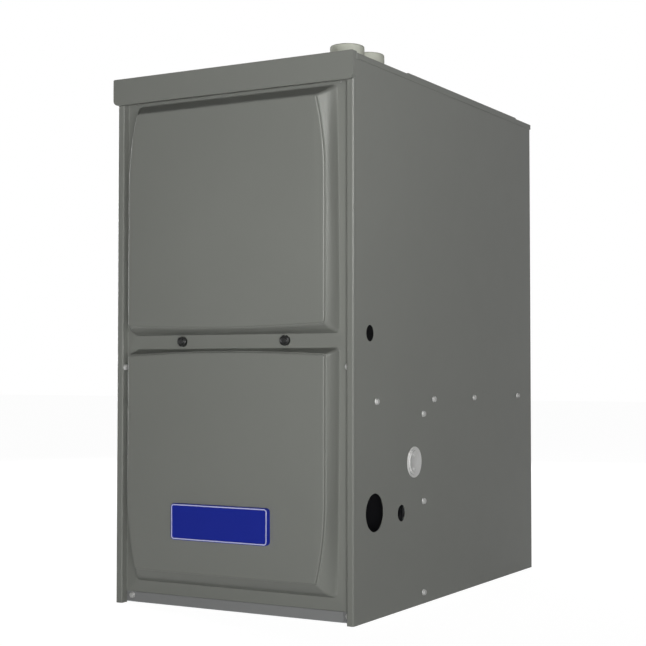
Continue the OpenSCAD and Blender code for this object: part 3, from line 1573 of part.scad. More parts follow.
module door_switch() {
    x = [door_switch_x - 10, door_switch_x + 10];
    d = door_switch_d;
    color([0.85, 0.85, 0.82]) difference() {
        union() {
            block(x, d, door_switch_z);
            block([x[0] - 3, x[1] + 3], [d[0] + 6, d[0] + 8], [door_switch_z[0] - 3, door_switch_z[1] + 3]);
            block([x[0] + 2, x[1] - 2], [deck_front - 1.5, deck_front],
                  [door_switch_z[1] - 1, deck_z - 4]);
        }
        rod_y(door_switch_x, [d[0] - 1, d[0] + 14], door_switch_mid, plunger_d + 2 * run_gap);
    }
}

module door_switch_plunger() {
    tip = door_switch_d[0] - plunger_travel - 0.5;
    end = door_switch_d[0] + 14 - plunger_travel - 0.5;
    color(black_plastic) union() {
        rod_y(door_switch_x, [tip + 1.5, end], door_switch_mid, plunger_d);
        rod_y(door_switch_x, [tip, tip + 1.5 + eps], door_switch_mid, plunger_d - 1.5);
    }
}

module junction_box() {
    x = [-inner_w, -half_w + 62];
    d = [92, 164];
    z = [deck_z - 100, deck_z - 34];
    color(galvanised) difference() {
        block(x, d, z);
        block([x[0] + 1, x[1] - 1], [d[0] + 1, d[1] - 1], [z[0] + 1, z[1] - 1]);
        rod_z((x[0] + x[1]) / 2, (d[0] + d[1]) / 2, [z[0] - 1, z[0] + 2], 22);
    }
}

// Wires from the board up through the deck, then along the left side to the valve
module wiring_harness() {
    x = harness_deck[0];
    d = harness_deck[1];
    f = board_front;
    trunk = [
        place(board_x[0] + 40, f - 14, board_z[1] - 6), place(board_x[0] + 40, f - 26, board_z[1] + 10),
        place(board_x[0] + 20, f - 28, board_z[1] + 26), place(x + 4, d, deck_z - 26),
        place(x, d, deck_z), place(x - 4, d - 2, deck_z + 40), place(x - 10, d - 12, deck_z + 100),
        place(x - 12, d - 20, deck_z + 180), place(x - 10, d - 34, deck_z + 230)
    ];
    branch_d = manifold_at + 40;
    to_valve = [
        place(x - 10, d - 34, deck_z + 230), place(x - 2, branch_d + 20, deck_z + 246),
        place(x + 12, branch_d, valve_z[0] + 22),
        place(valve_x - valve_w / 2 - 22, branch_d - 14, valve_z[0] + 30),
        place(valve_x - valve_w / 2 - 2, branch_d - 26, valve_z[0] + 32)
    ];
    color([0.75, 0.74, 0.70]) union() {
        tube_along(spline(trunk, 4), 11);
        tube_along(spline(to_valve, 4), 6);
    }
}

// ---- Every sub-part by name ----

casing();
top_panel();
header_trim();
base_rail();
bottom_panel();
blower_deck();
vestibule_panel();
cross_rail();
side_braces();
upper_door();
lower_door();
lower_door_liner();
door_striker();
badge_plate();
door_knob(-knob_x);  // left_knob
door_knob(knob_x);  // right_knob
vent_collar(exhaust_d);  // exhaust_collar
vent_collar(intake_d);  // intake_collar
exhaust_pipe();
intake_pipe();
hole_plug();
side_screws();
back_screws();
front_screws();
primary_exchanger();
rear_header_box();
coil_tubes();
coil_fins();
condensate_collector();
inducer_volute();
inducer_motor();
inducer_wheel();
inducer_shaft();
burner_box();
burners();
gas_manifold();
gas_orifices();
gas_valve();
gas_valve_switch();
igniter();
flame_sensor();
rollout_switches();
reset_button(rollout_xs[0]);  // left_reset_button
reset_button(rollout_xs[1]);  // right_reset_button
limit_switch();
pressure_switch();
pressure_hose();
condensate_trap();
drain_hose();
blower_wrap();
blower_side(-1);  // blower_left_side
blower_side(1);  // blower_right_side
blower_wheel();
blower_hub();
blower_shaft();
blower_motor();
motor_bracket();
run_capacitor();
control_panel();
control_board();
transformer();
door_switch();
door_switch_plunger();
junction_box();
wiring_harness();
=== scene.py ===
"""Looks of a forced air gas furnace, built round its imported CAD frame.

Laid out as an add-on and run as a script. Lengths in the code are metres unless a name ends in
_mm. X is to the furnace's right, Y to its back, Z up; d is depth behind the cabinet's front.
"""

import json
import math

import bmesh
import bpy
from bpy.props import FloatProperty, FloatVectorProperty, IntProperty, PointerProperty
from mathutils import Matrix, Vector


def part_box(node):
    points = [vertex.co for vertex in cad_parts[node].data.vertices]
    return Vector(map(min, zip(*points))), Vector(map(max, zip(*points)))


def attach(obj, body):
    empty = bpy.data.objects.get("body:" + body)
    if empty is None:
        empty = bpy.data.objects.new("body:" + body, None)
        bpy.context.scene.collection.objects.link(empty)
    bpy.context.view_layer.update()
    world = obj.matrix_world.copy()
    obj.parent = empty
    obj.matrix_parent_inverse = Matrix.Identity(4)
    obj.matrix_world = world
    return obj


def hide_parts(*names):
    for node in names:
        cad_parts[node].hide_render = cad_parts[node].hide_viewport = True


bl_info = {
    "name": "Forced air gas furnace",
    "version": (1, 0, 0),
    "blender": (4, 5, 0),
    "location": "3D View > Sidebar > Furnace",
    "description": "Pressed doors, painted cabinet, fasteners and inner parts of a gas furnace",
    "category": "Object",
}

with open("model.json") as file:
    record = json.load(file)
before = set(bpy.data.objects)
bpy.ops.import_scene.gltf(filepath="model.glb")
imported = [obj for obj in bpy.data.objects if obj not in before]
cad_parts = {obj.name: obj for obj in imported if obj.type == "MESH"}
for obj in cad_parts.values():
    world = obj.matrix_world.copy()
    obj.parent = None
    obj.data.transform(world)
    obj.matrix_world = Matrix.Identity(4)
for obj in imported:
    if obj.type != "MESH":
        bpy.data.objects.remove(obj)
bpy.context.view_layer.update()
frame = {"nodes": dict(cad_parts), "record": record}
NODES = frame["nodes"]
BODY_OF = {node: body for body, nodes in frame["record"]["behaviour"]["bodies"].items() for node in nodes}
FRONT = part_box("casing")[0].y
MM = 0.001


def at(x, d, z):
    """Millimetres right of the middle, behind the front flanges and above the floor, in metres."""
    return Vector((x * MM, FRONT + d * MM, z * MM))


# ---------------------------------------------------------------- sizes and colours


def length_mm(name, text, default, low, high):
    return FloatProperty(name=name, description=text, default=default, min=low, max=high, unit="NONE")


def colour(name, text, default):
    return FloatVectorProperty(
        name=name, description=text, default=default, min=0.0, max=1.0, size=3, subtype="COLOR")


class FurnaceSizes(bpy.types.PropertyGroup):
    """Sizes that the looks add to the frame, in millimetres."""

    lip_radius: length_mm("Lip radius", "Rounding of the raised panels' edge", 2.2, 0.5, 4.0)
    lip_step: length_mm("Lip step", "Straight wall below the rounded edge", 2.5, 0.2, 3.5)
    ledge: length_mm("Ledge", "Rounded ledge between the bevel and that wall", 1.5, 0.3, 3.0)
    foot_radius: length_mm("Foot radius", "Fillet where the bevel meets the border", 2.6, 0.3, 4.0)
    edge_radius: length_mm("Edge radius", "Rounding of the cabinet's cut edges", 0.35, 0.05, 1.0)
    skin: length_mm("Skin", "Thickness of the door sheet", 1.0, 0.6, 1.5)
    badge_line: length_mm("Badge line", "Width of the pale line on the badge", 1.7, 0.5, 4.0)
    badge_margin: length_mm("Badge margin", "Blue left outside the pale line", 1.0, 0.1, 4.0)
    wire: length_mm("Wire", "Diameter of one wire with its jacket", 2.6, 1.0, 5.0)
    blades: IntProperty(name="Blades", description="Blades on the blower wheel", default=48, min=24, max=60)


class FurnaceColours(bpy.types.PropertyGroup):
    """Colours that a user would change."""

    paint: colour("Paint", "Baked enamel of the doors and cabinet", (0.178, 0.184, 0.168))
    rail: colour("Rail", "Enamel of the base rail", (0.210, 0.214, 0.213))
    badge: colour("Badge", "Field of the blank badge", (0.0115, 0.0220, 0.2600))
    badge_line: colour("Badge line", "Thin line round the badge", (0.46, 0.47, 0.68))
    collar: colour("Collars", "Moulded flue collars", (0.42, 0.43, 0.37))
    knob: colour("Knobs", "Moulded latch knobs", (0.006, 0.0065, 0.006))
    plug: colour("Plug", "Hole plug in the side wall", (0.52, 0.52, 0.51))


def sizes():
    return bpy.context.scene.furnace_sizes


def colours():
    return bpy.context.scene.furnace_colours


# ---------------------------------------------------------------- node trees


def fill_settings(node, settings):
    """Sets a node's own settings; stops is a colour ramp's list of (place, colour)."""
    for key, value in settings.items():
        if key == "stops":
            ramp = node.color_ramp
            while len(ramp.elements) < len(value):
                ramp.elements.new(0.5)
            for element, (place, tint) in zip(ramp.elements, value):
                element.position = place
                element.color = (*tint, 1.0) if hasattr(tint, "__len__") else (tint, tint, tint, 1.0)
        else:
            setattr(node, key, value)


def join_inputs(tree, node, inputs):
    for key, value in inputs.items():
        socket = node.inputs[key]
        if isinstance(value, Number):
            tree.links.new(value.socket, socket)
        elif isinstance(value, bpy.types.NodeSocket):
            tree.links.new(value, socket)
        elif hasattr(value, "__len__") and len(value) == 3 and len(getattr(socket, "default_value", ())) == 4:
            socket.default_value = (*value, 1.0)
        else:
            socket.default_value = value


class Number:
    """A shader socket that takes part in Python arithmetic by adding Math nodes."""

    def __init__(self, look, socket):
        self.look, self.socket = look, socket

    def maths(self, operation, a, b=None):
        values = {0: a} if b is None else {0: a, 1: b}
        return self.look.node("ShaderNodeMath", {"operation": operation}, values)

    def __add__(self, other):
        return self.maths("ADD", self, other)

    def __radd__(self, other):
        return self.maths("ADD", other, self)

    def __sub__(self, other):
        return self.maths("SUBTRACT", self, other)

    def __rsub__(self, other):
        return self.maths("SUBTRACT", other, self)

    def __mul__(self, other):
        return self.maths("MULTIPLY", self, other)

    def __rmul__(self, other):
        return self.maths("MULTIPLY", other, self)

    def __truediv__(self, other):
        return self.maths("DIVIDE", self, other)

    def __rtruediv__(self, other):
        return self.maths("DIVIDE", other, self)

    def __pow__(self, other):
        return self.maths("POWER", self, other)

    def above(self, edge):
        return self.maths("GREATER_THAN", self, edge)

    def sine(self):
        return self.maths("SINE", self)

    def most(self, other):
        return self.maths("MAXIMUM", self, other)

    def least(self, other):
        return self.maths("MINIMUM", self, other)

    def within(self):
        """Held between 0 and 1."""
        return self.most(0.0).least(1.0)

    def ease(self, low, high):
        """0 below low, 1 above high and smooth between them."""
        return self.look.node(
            "ShaderNodeMapRange", {"interpolation_type": "SMOOTHSTEP"},
            {"Value": self, "From Min": low, "From Max": high})


class Look:
    """A material with one Principled shader, whose patterns lie on Object coordinates."""

    def __init__(self, name, base, roughness, metallic=0.0, **fixed):
        self.material = bpy.data.materials.new(name)
        self.material.use_nodes = True
        self.tree = self.material.node_tree
        self.shader = next(n for n in self.tree.nodes if n.type == "BSDF_PRINCIPLED")
        self.place = self.node("ShaderNodeTexCoord", {}, {}, "Object")
        self.set("Base Color", base)
        self.set("Roughness", roughness)
        self.set("Metallic", metallic)
        for key, value in fixed.items():
            self.set(key.replace("_", " ").title().replace("Ior", "IOR"), value)
        self.material.diffuse_color = (*base, 1.0)

    def node(self, kind, settings=None, inputs=None, out=0):
        made = self.tree.nodes.new(kind)
        fill_settings(made, settings or {})
        join_inputs(self.tree, made, inputs or {})
        return Number(self, made.outputs[out])

    def set(self, name, value):
        join_inputs(self.tree, self.shader, {name: value})

    def axes(self):
        made = self.node("ShaderNodeSeparateXYZ", {}, {0: self.place}).socket.node
        return [Number(self, s) for s in made.outputs]

    def stretched(self, x, y, z):
        """Object coordinates scaled by x, y and z, for a pattern with a grain."""
        return self.node("ShaderNodeMapping", {}, {"Vector": self.place, "Scale": (x, y, z)})

    def noise(self, scale, detail=3.0, rough=0.5, where=None, warp=0.0):
        return self.node("ShaderNodeTexNoise", {}, {
            "Vector": where or self.place, "Scale": scale, "Detail": detail, "Roughness": rough,
            "Distortion": warp}, "Fac")

    def cells(self, scale, feature="F1", out="Distance", where=None):
        return self.node("ShaderNodeTexVoronoi", {"feature": feature},
                         {"Vector": where or self.place, "Scale": scale}, out)

    def mix(self, factor, a, b):
        return self.node("ShaderNodeMix", {"data_type": "RGBA"}, {0: factor, 6: a, 7: b}, 2)

    def tint(self, base, factor, depth):
        """base made darker and lighter by up to depth, as factor goes from 0 to 1."""
        low = tuple(c * (1 - depth) for c in base)
        high = tuple(min(1.0, c * (1 + depth)) for c in base)
        return self.mix(factor, low, high)

    def bump(self, height, distance, strength):
        return self.node("ShaderNodeBump", {}, {
            "Height": height, "Distance": distance, "Strength": strength})


class Recipe:
    """A Geometry Nodes tree with named inputs for its sizes."""

    def __init__(self, name, inputs):
        self.tree = bpy.data.node_groups.new(name, "GeometryNodeTree")
        face = self.tree.interface
        face.new_socket("Geometry", in_out="INPUT", socket_type="NodeSocketGeometry")
        for label, kind in inputs:
            face.new_socket(label, in_out="INPUT", socket_type="NodeSocket" + kind)
        face.new_socket("Geometry", in_out="OUTPUT", socket_type="NodeSocketGeometry")
        self.entry = self.tree.nodes.new("NodeGroupInput")
        self.exit = self.tree.nodes.new("NodeGroupOutput")

    def __getitem__(self, label):
        return self.entry.outputs[label]

    def node(self, kind, settings=None, inputs=None, out=0):
        made = self.tree.nodes.new(kind)
        fill_settings(made, settings or {})
        join_inputs(self.tree, made, inputs or {})
        return made.outputs[out]

    def maths(self, operation, a, b):
        return self.node("ShaderNodeMath", {"operation": operation}, {0: a, 1: b})

    def triple(self, x=0.0, y=0.0, z=0.0):
        return self.node("ShaderNodeCombineXYZ", {}, {0: x, 1: y, 2: z})

    def join(self, *parts):
        made = self.tree.nodes.new("GeometryNodeJoinGeometry")
        for part in reversed(parts):
            self.tree.links.new(part, made.inputs[0])
        return made.outputs[0]

    def close(self, geometry):
        """Ends the tree: instances made real, and the material set."""
        real = self.node("GeometryNodeRealizeInstances", {}, {0: geometry})
        done = self.node("GeometryNodeSetMaterial", {}, {"Geometry": real, "Material": self["Material"]})
        self.tree.links.new(done, self.exit.inputs[0])
        return self

    def make(self, name, carrier, material, **values):
        """Runs the tree on a mesh or curve and returns the result as a plain mesh object."""
        start = bpy.data.objects.new(name + "_start", carrier)
        bpy.context.scene.collection.objects.link(start)
        modifier = start.modifiers.new("recipe", "NODES")
        modifier.node_group = self.tree
        for item in self.tree.interface.items_tree:
            if item.item_type != "SOCKET" or item.in_out != "INPUT":
                continue
            if item.name == "Material":
                modifier[item.identifier] = material
            elif item.name.replace(" ", "_").lower() in values:
                modifier[item.identifier] = values[item.name.replace(" ", "_").lower()]
        graph = bpy.context.evaluated_depsgraph_get()
        mesh = bpy.data.meshes.new_from_object(start.evaluated_get(graph))
        start.modifiers.remove(modifier)
        bpy.data.objects.remove(start)
        mesh.name = name
        return linked(name, mesh)


# ---------------------------------------------------------------- meshes


def linked(name, mesh):
    piece = bpy.data.objects.new(name, mesh)
    bpy.context.scene.collection.objects.link(piece)
    return piece


def smooth_by_angle(mesh, degrees=32.0):
    for face in mesh.polygons:
        face.use_smooth = True
    mesh.set_sharp_from_angle(angle=math.radians(degrees))


def from_bmesh(name, work, degrees=32.0, tidy=True):
    if tidy:
        bmesh.ops.remove_doubles(work, verts=work.verts, dist=1e-6)
        bmesh.ops.recalc_face_normals(work, faces=work.faces)
    mesh = bpy.data.meshes.new(name)
    work.to_mesh(mesh)
    work.free()
    smooth_by_angle(mesh, degrees)
    return linked(name, mesh)


def finished(piece, node, look, body=None, replaced=True):
    """Gives a piece its material, its body and the CAD node that it stands for."""
    piece.data.materials.clear()
    piece.data.materials.append(look)
    return declared(piece, node, body, replaced)


def declared(piece, node, body=None, replaced=True):
    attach(piece, body or BODY_OF[node])
    if replaced:
        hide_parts(node)
    return piece


def settled(piece):
    """Applies the modifiers of a piece."""
    graph = bpy.context.evaluated_depsgraph_get()
    mesh = bpy.data.meshes.new_from_object(piece.evaluated_get(graph))
    piece.modifiers.clear()
    piece.data = mesh
    return piece


SHARP_DEGREES = 40.0


def rounded(piece, width_mm):
    """Small rounding of a piece's sharp edges, applied."""
    edge = piece.modifiers.new("edges", "BEVEL")
    edge.width = width_mm * MM
    edge.segments = 2
    edge.limit_method = "ANGLE"
    edge.angle_limit = math.radians(SHARP_DEGREES)
    edge.use_clamp_overlap = True
    edge.miter_outer = "MITER_ARC"
    edge.harden_normals = False
    settled(piece)
    smooth_by_angle(piece.data, 35.0)
    even = piece.modifiers.new("even", "WEIGHTED_NORMAL")
    even.weight = 100
    even.keep_sharp = True
    return settled(piece)


def dressed(node, look, width_mm):
    """A cleaned copy of a CAD node with rounded edges, which stands for the node."""
    work = bmesh.new()
    work.from_mesh(NODES[node].data)
    bmesh.ops.remove_doubles(work, verts=work.verts, dist=2e-6)
    bmesh.ops.dissolve_limit(
        work, angle_limit=math.radians(0.6), verts=work.verts, edges=work.edges,
        use_dissolve_boundaries=False)
    piece = from_bmesh(node + "_finish", work, tidy=False)
    if width_mm:
        rounded(piece, width_mm)
    return finished(piece, node, look)


def lathed(work, profile, origin, axis, segments=64):
    """Adds a closed turned form: profile is (radius, height) in mm from foot to top."""
    axis = Vector(axis).normalized()
    side = axis.orthogonal().normalized()
    other = axis.cross(side)
    rings = []
    for radius, height in profile:
        if radius < 1e-6:
            rings.append([work.verts.new(origin + axis * height * MM)])
            continue
        rings.append([
            work.verts.new(origin + axis * height * MM + (
                side * math.cos(2 * math.pi * i / segments) + other * math.sin(2 * math.pi * i / segments)
            ) * radius * MM) for i in range(segments)])
    for low, high in zip(rings, rings[1:]):
        join_rings(work, low, high)
    for ring, flip in ((rings[0], True), (rings[-1], False)):
        if len(ring) > 1 and profile[0] != profile[-1]:
            work.faces.new(list(reversed(ring)) if flip else ring)
    return rings


def join_rings(work, low, high):
    """Faces between two rings of points, either of which may be one point."""
    count = max(len(low), len(high))
    for i in range(count):
        j = (i + 1) % count
        corners = []
        for vert in (low[i % len(low)], low[j % len(low)], high[j % len(high)], high[i % len(high)]):
            if vert not in corners:
                corners.append(vert)
        if len(corners) > 2:
            work.faces.new(corners)


def arc(centre, radius, start, end, steps):
    """Points (radius, height) along an arc, angles in degrees."""
    return [(centre[0] + radius * math.cos(math.radians(start + (end - start) * i / steps)),
             centre[1] + radius * math.sin(math.radians(start + (end - start) * i / steps)))
            for i in range(steps + 1)]


BOX_FACES = ((0, 1, 3, 2), (4, 6, 7, 5), (0, 4, 5, 1), (2, 3, 7, 6), (0, 2, 6, 4), (1, 5, 7, 3))


def slab(work, x, d, z):
    """Adds a box between two corners given in mm as ranges."""
    corners = [work.verts.new(at(x[i], d[j], z[k])) for i in (0, 1) for j in (0, 1) for k in (0, 1)]
    for face in BOX_FACES:
        work.faces.new([corners[i] for i in face])
    return corners


def tablet(width, height, radius, steps=10):
    """Outline of a rounded rectangle about the origin, counter-clockwise, in mm."""
    points = []
    for cx, cy, start in ((1, -1, -90), (1, 1, 0), (-1, 1, 90), (-1, -1, 180)):
        centre = (cx * (width / 2 - radius), cy * (height / 2 - radius))
        points += arc(centre, radius, start, start + 90, steps)
    return points


def upright_form(name, rings, origin_x, origin_z, closed=True):
    """A form whose rings, each (outline, depth in mm), lie one over another, facing the front."""
    work = bmesh.new()
    made = [[work.verts.new(at(origin_x + x, d, origin_z + z)) for x, z in outline] for outline, d in rings]
    for low, high in zip(made, made[1:]):
        join_rings(work, low, high)
    if closed:
        work.faces.new(made[-1])
        work.faces.new(list(reversed(made[0])))
    return from_bmesh(name, work)


# ---------------------------------------------------------------- finishes

LOOKS = {}


def finish(name):
    """The material of that name, made on its first use."""
    if name not in LOOKS:
        LOOKS[name] = FINISHES[name]().material
    return LOOKS[name]


def enamel(name, base, roughness=0.32):
    """Baked enamel on sheet steel: faint clouds, fine orange peel, a few dust specks."""
    look = Look(name, base, roughness, specular_ior_level=0.08)
    clouds = look.noise(7.0, 4.0, 0.55)
    grain = look.noise(1400.0, 2.0, 0.6)
    shade = clouds * 0.75 + grain * 0.25
    look.set("Base Color", look.tint(base, shade, 0.055))
    look.set("Roughness", (look.noise(22.0, 4.0) - 0.5) * 0.10 + grain * 0.04 + roughness)
    peel = look.noise(520.0, 2.0, 0.4)
    look.set("Normal", look.bump(peel * 0.7 + grain * 0.3, 0.00006, 0.55))
    return look


def plated(name, base, roughness, spangle=0.0, streak=None, stain=0.0):
    """Bare or coated steel: crystal spangle, rolling streaks and faint stains."""
    look = Look(name, base, roughness, 1.0)
    tone = look.noise(9.0, 5.0, 0.6)
    rough = (look.noise(60.0, 4.0, 0.65) - 0.5) * 0.14 + roughness
    colour_now = look.tint(base, tone, 0.06)
    if spangle:
        crystal = look.cells(150.0, "F1", "Color")
        value = look.node("ShaderNodeSeparateColor", {}, {0: crystal})
        colour_now = look.mix(value * spangle, colour_now, tuple(c * 0.62 for c in base))
        rough = rough + (value - 0.5) * 0.16
    if streak:
        lines = look.noise(1.0, 3.0, 0.7, look.stretched(*streak))
        rough = rough + (lines - 0.5) * 0.18
        look.set("Normal", look.bump(lines, 0.00005, 0.4))
    if stain:
        soot = look.noise(14.0, 6.0, 0.7, None, 0.6).ease(0.52, 0.74)
        colour_now = look.mix(soot * stain, colour_now, (0.16, 0.12, 0.09))
        rough = rough + soot * 0.25
    look.set("Base Color", colour_now)
    look.set("Roughness", rough.within())
    return look


def moulded(name, base, roughness, grain=900.0, depth=0.00005, blush=0.05, **fixed):
    """Plastic, rubber, ceramic or a dull coat on metal: fine texture and slight sheen changes."""
    look = Look(name, base, roughness, 0.0, **fixed)
    skin = look.noise(grain, 3.0, 0.6)
    look.set("Base Color", look.tint(base, look.noise(28.0, 4.0), blush))
    look.set("Roughness", ((look.noise(70.0, 3.0) - 0.5) * 0.14 + roughness).within())
    look.set("Normal", look.bump(skin, depth, 0.5))
    return look


def foil():
    """Foil facing with its scrim of crossed threads and crumples."""
    base = (0.72, 0.73, 0.74)
    look = Look("foil_facing", base, 0.3, 1.0)
    x, _, z = look.axes()
    one = ((x + z) * 900.0).sine().ease(0.86, 0.99)
    two = ((x - z) * 900.0).sine().ease(0.86, 0.99)
    crumple = look.noise(46.0, 5.0, 0.6, None, 0.8)
    look.set("Base Color", look.tint(base, crumple, 0.10))
    look.set("Roughness", (crumple * 0.30 + 0.18).within())
    look.set("Normal", look.bump(one.most(two) * 0.3 + crumple, 0.0008, 0.7))
    return look


def board_green():
    """Solder mask with copper tracks showing as slightly lighter, raised lines."""
    base = (0.012, 0.115, 0.040)
    look = Look("board_mask", base, 0.28)
    cells = look.cells(260.0, "DISTANCE_TO_EDGE", "Distance", look.stretched(1.0, 0.02, 1.0))
    track = 1.0 - cells.ease(0.03, 0.06)
    dots = 1.0 - look.cells(420.0, "F1", "Distance", look.stretched(1.0, 0.02, 1.0)).ease(0.12, 0.16)
    tone = look.mix(track * 0.7, base, (0.030, 0.21, 0.075))
    look.set("Base Color", look.mix(dots * 0.8, tone, (0.55, 0.55, 0.52)))
    look.set("Normal", look.bump(track + dots, 0.00006, 0.6))
    return look


def heated_steel():
    """Aluminised tube steel with a weak spangle and faint brown stains."""
    return plated("aluminised_steel", (0.44, 0.43, 0.42), 0.42, 0.25, (30.0, 30.0, 30.0), 0.35)


def marked_badge():
    """The badge's blue field, with nothing written on it."""
    base = tuple(colours().badge)
    look = Look("badge_field", base, 0.34, 0.0, specular_ior_level=0.06)
    look.set("Base Color", look.tint(base, look.noise(30.0, 3.0), 0.06))
    look.set("Roughness", (look.noise(90.0, 3.0) - 0.5) * 0.08 + 0.34)
    look.set("Normal", look.bump(look.noise(1500.0), 0.00002, 0.4))
    return look


FINISHES = {
    "paint": lambda: enamel("cabinet_enamel", tuple(colours().paint)),
    "rail": lambda: enamel("rail_enamel", tuple(colours().rail), 0.42),
    "zinc": lambda: plated("zinc_plate", (0.62, 0.63, 0.63), 0.34, 0.0, None, 0.10),
    "screw": lambda: moulded(
        "screw_plate", (0.42, 0.42, 0.41), 0.42, 500.0, 0.00006, 0.14, specular_ior_level=0.2),
    "galvanised": lambda: plated("galvanised_sheet", (0.50, 0.52, 0.54), 0.42, 0.55),
    "aluminised": heated_steel,
    "coil": lambda: plated("fin_stock", (0.66, 0.67, 0.68), 0.36, 0.0, (4.0, 900.0, 4.0)),
    "tube": lambda: plated("coil_tube", (0.55, 0.54, 0.52), 0.30, 0.0, (60.0, 6.0, 60.0), 0.15),
    "knob": lambda: moulded(
        "knob_plastic", tuple(colours().knob), 0.36, 700.0, 0.00004, specular_ior_level=0.35),
    "black": lambda: moulded("black_plastic", (0.013, 0.013, 0.014), 0.48, specular_ior_level=0.2),
    # Near-black plastic of the condensate trap, made darker and duller than the other black plastic as
    # painted shade, so the side holes it shows through read as dark recesses
    "trap": lambda: moulded("trap_plastic", (0.006, 0.006, 0.007), 0.5, specular_ior_level=0.05),
    "dark": lambda: moulded("switch_plastic", (0.035, 0.036, 0.040), 0.42),
    "motor": lambda: moulded("motor_enamel", (0.022, 0.022, 0.024), 0.36, 500.0, 0.00010),
    "collar": lambda: moulded(
        "collar_plastic", tuple(colours().collar), 0.58, 600.0, 0.00005, 0.07, specular_ior_level=0.05),
    "pipe": lambda: moulded("pipe_plastic", (0.66, 0.66, 0.62), 0.34, 300.0, 0.00003),
    "plug": lambda: moulded("plug_plastic", tuple(colours().plug), 0.40, specular_ior_level=0.2),
    "badge": marked_badge,
    "badge_line": lambda: moulded("badge_line", tuple(colours().badge_line), 0.38, 1200.0, 0.00002),
    "foil": foil,
    "brass": lambda: plated("turned_brass", (0.62, 0.43, 0.16), 0.26, 0.0, (900.0, 20.0, 900.0)),
    "cast": lambda: plated("cast_alloy", (0.50, 0.51, 0.52), 0.46, 0.0, None, 0.12),
    "iron_pipe": lambda: moulded("black_pipe", (0.035, 0.034, 0.033), 0.40, 380.0, 0.00015),
    "red": lambda: moulded("red_plastic", (0.42, 0.020, 0.012), 0.35),
    "ceramic": lambda: moulded("glazed_ceramic", (0.70, 0.66, 0.56), 0.25, 400.0, 0.00003),
    "hose": lambda: moulded("hose_rubber", (0.016, 0.016, 0.017), 0.55, 700.0, 0.0001),
    "silicone": lambda: moulded("silicone_tube", (0.42, 0.10, 0.030), 0.38, 500.0, 0.00003),
    "board": board_green,
    "white": lambda: moulded("white_nylon", (0.66, 0.65, 0.60), 0.40),
    "wheel": lambda: plated("wheel_sheet", (0.52, 0.53, 0.54), 0.38, 0.30),
    "lamination": lambda: plated("core_steel", (0.30, 0.29, 0.28), 0.44, 0.0, (500.0, 500.0, 500.0), 0.20),
    "tape": lambda: moulded("winding_tape", (0.58, 0.37, 0.035), 0.34, 260.0, 0.00012, 0.12),
    "relay": lambda: moulded("relay_case", (0.016, 0.018, 0.022), 0.28),
    "sleeve": lambda: moulded("capacitor_sleeve", (0.014, 0.022, 0.075), 0.30),
    "element": lambda: moulded("nitride_element", (0.055, 0.052, 0.050), 0.62, 500.0, 0.00008, 0.15),
}
WIRE_TINTS = {
    "red": (0.46, 0.016, 0.012), "blue": (0.020, 0.060, 0.36), "black": (0.015, 0.015, 0.016),
    "white": (0.68, 0.67, 0.63), "orange": (0.60, 0.16, 0.015), "yellow": (0.66, 0.46, 0.03),
    "green": (0.03, 0.24, 0.06), "violet": (0.16, 0.05, 0.30),
}
FINISHES.update({
    "wire_" + tint: lambda tint=tint: moulded(
        "wire_jacket_" + tint, WIRE_TINTS[tint], 0.38, 500.0, 0.00003, 0.06)
    for tint in WIRE_TINTS})


# ---------------------------------------------------------------- doors

# Millimetres, as heights above the floor, radii or distances between edges. PANEL is the raised
# face, whose sides are straight as far as "straight" from its middle and then curve in.
PANEL = {"half": 180.0, "middle": 422.5, "straight": 240.0, "radius": 500.0}
BEVEL_SIDE = 8.5
BEVEL_BOW = 4.5
BARREL_HALF = 384.5
BEVEL_CORNER = 7.0
PANEL_CORNER = 5.0
INNER_BOW = 4.5
FAR_BOW = 0.4
ROLL_ANGLE = 55.0
FOOT_FLATNESS = 0.35
SIDE_FLATNESS = 0.036
NARROW_BEVEL = 2.0
MOST_FLATNESS = 0.9
UPPER_FOOT, UPPER_BORDER, UPPER_DROP = 430.0, 2.5, 18.0
UPPER_INNER = 14.5
LOWER_BEVEL_FOOT, LOWER_PANEL_FOOT, LOWER_INNER = 38.0, 60.0, 10.0
RETURN_SCREW_HEIGHT = 379.5


def panel_reach(z):
    """Half width of the raised panels at a height, in mm."""
    off = max(0.0, abs(z - PANEL["middle"]) - PANEL["straight"])
    return PANEL["half"] - PANEL["radius"] + math.sqrt(PANEL["radius"] ** 2 - off * off)


def bevel_reach(z):
    """Half width of the bevels' outer edges at a height, in mm."""
    return PANEL["half"] + BEVEL_SIDE - BEVEL_BOW * ((z - PANEL["middle"]) / BARREL_HALF) ** 2


def door_outline(foot, top, reach, bow, radius, inset):
    """Closed outline (x, z) of a panel or bevel in mm, counter-clockwise from the lower left."""
    foot, top = foot + inset, top - inset
    side, end, corner = 72, 120, 9
    foot_x = reach(foot + radius) - inset - radius
    top_x = reach(top - radius) - inset - radius
    points = []
    for i in range(end + 1):
        u = 2 * i / end - 1
        points.append((u * foot_x, foot - bow[0] * (1 - u * u)))
    points += [(foot_x + radius * math.cos(a), foot + radius + radius * math.sin(a))
               for a in (math.radians(-90 + 90 * k / corner) for k in range(1, corner))]
    rise = top - foot - 2 * radius
    points += [(reach(foot + radius + rise * i / side) - inset, foot + radius + rise * i / side)
               for i in range(side + 1)]
    points += [(top_x + radius * math.cos(a), top - radius + radius * math.sin(a))
               for a in (math.radians(90 * k / corner) for k in range(1, corner))]
    points += [(top_x * (1 - 2 * i / end), top + bow[1] * (1 - (1 - 2 * i / end) ** 2))
               for i in range(end + 1)]
    points += [(-top_x + radius * math.cos(a), top - radius + radius * math.sin(a))
               for a in (math.radians(90 + 90 * k / corner) for k in range(1, corner))]
    points += [(-(reach(top - radius - rise * i / side) - inset), top - radius - rise * i / side)
               for i in range(side + 1)]
    points += [(-foot_x + radius * math.cos(a), foot + radius + radius * math.sin(a))
               for a in (math.radians(180 + 90 * k / corner) for k in range(1, corner))]
    return points


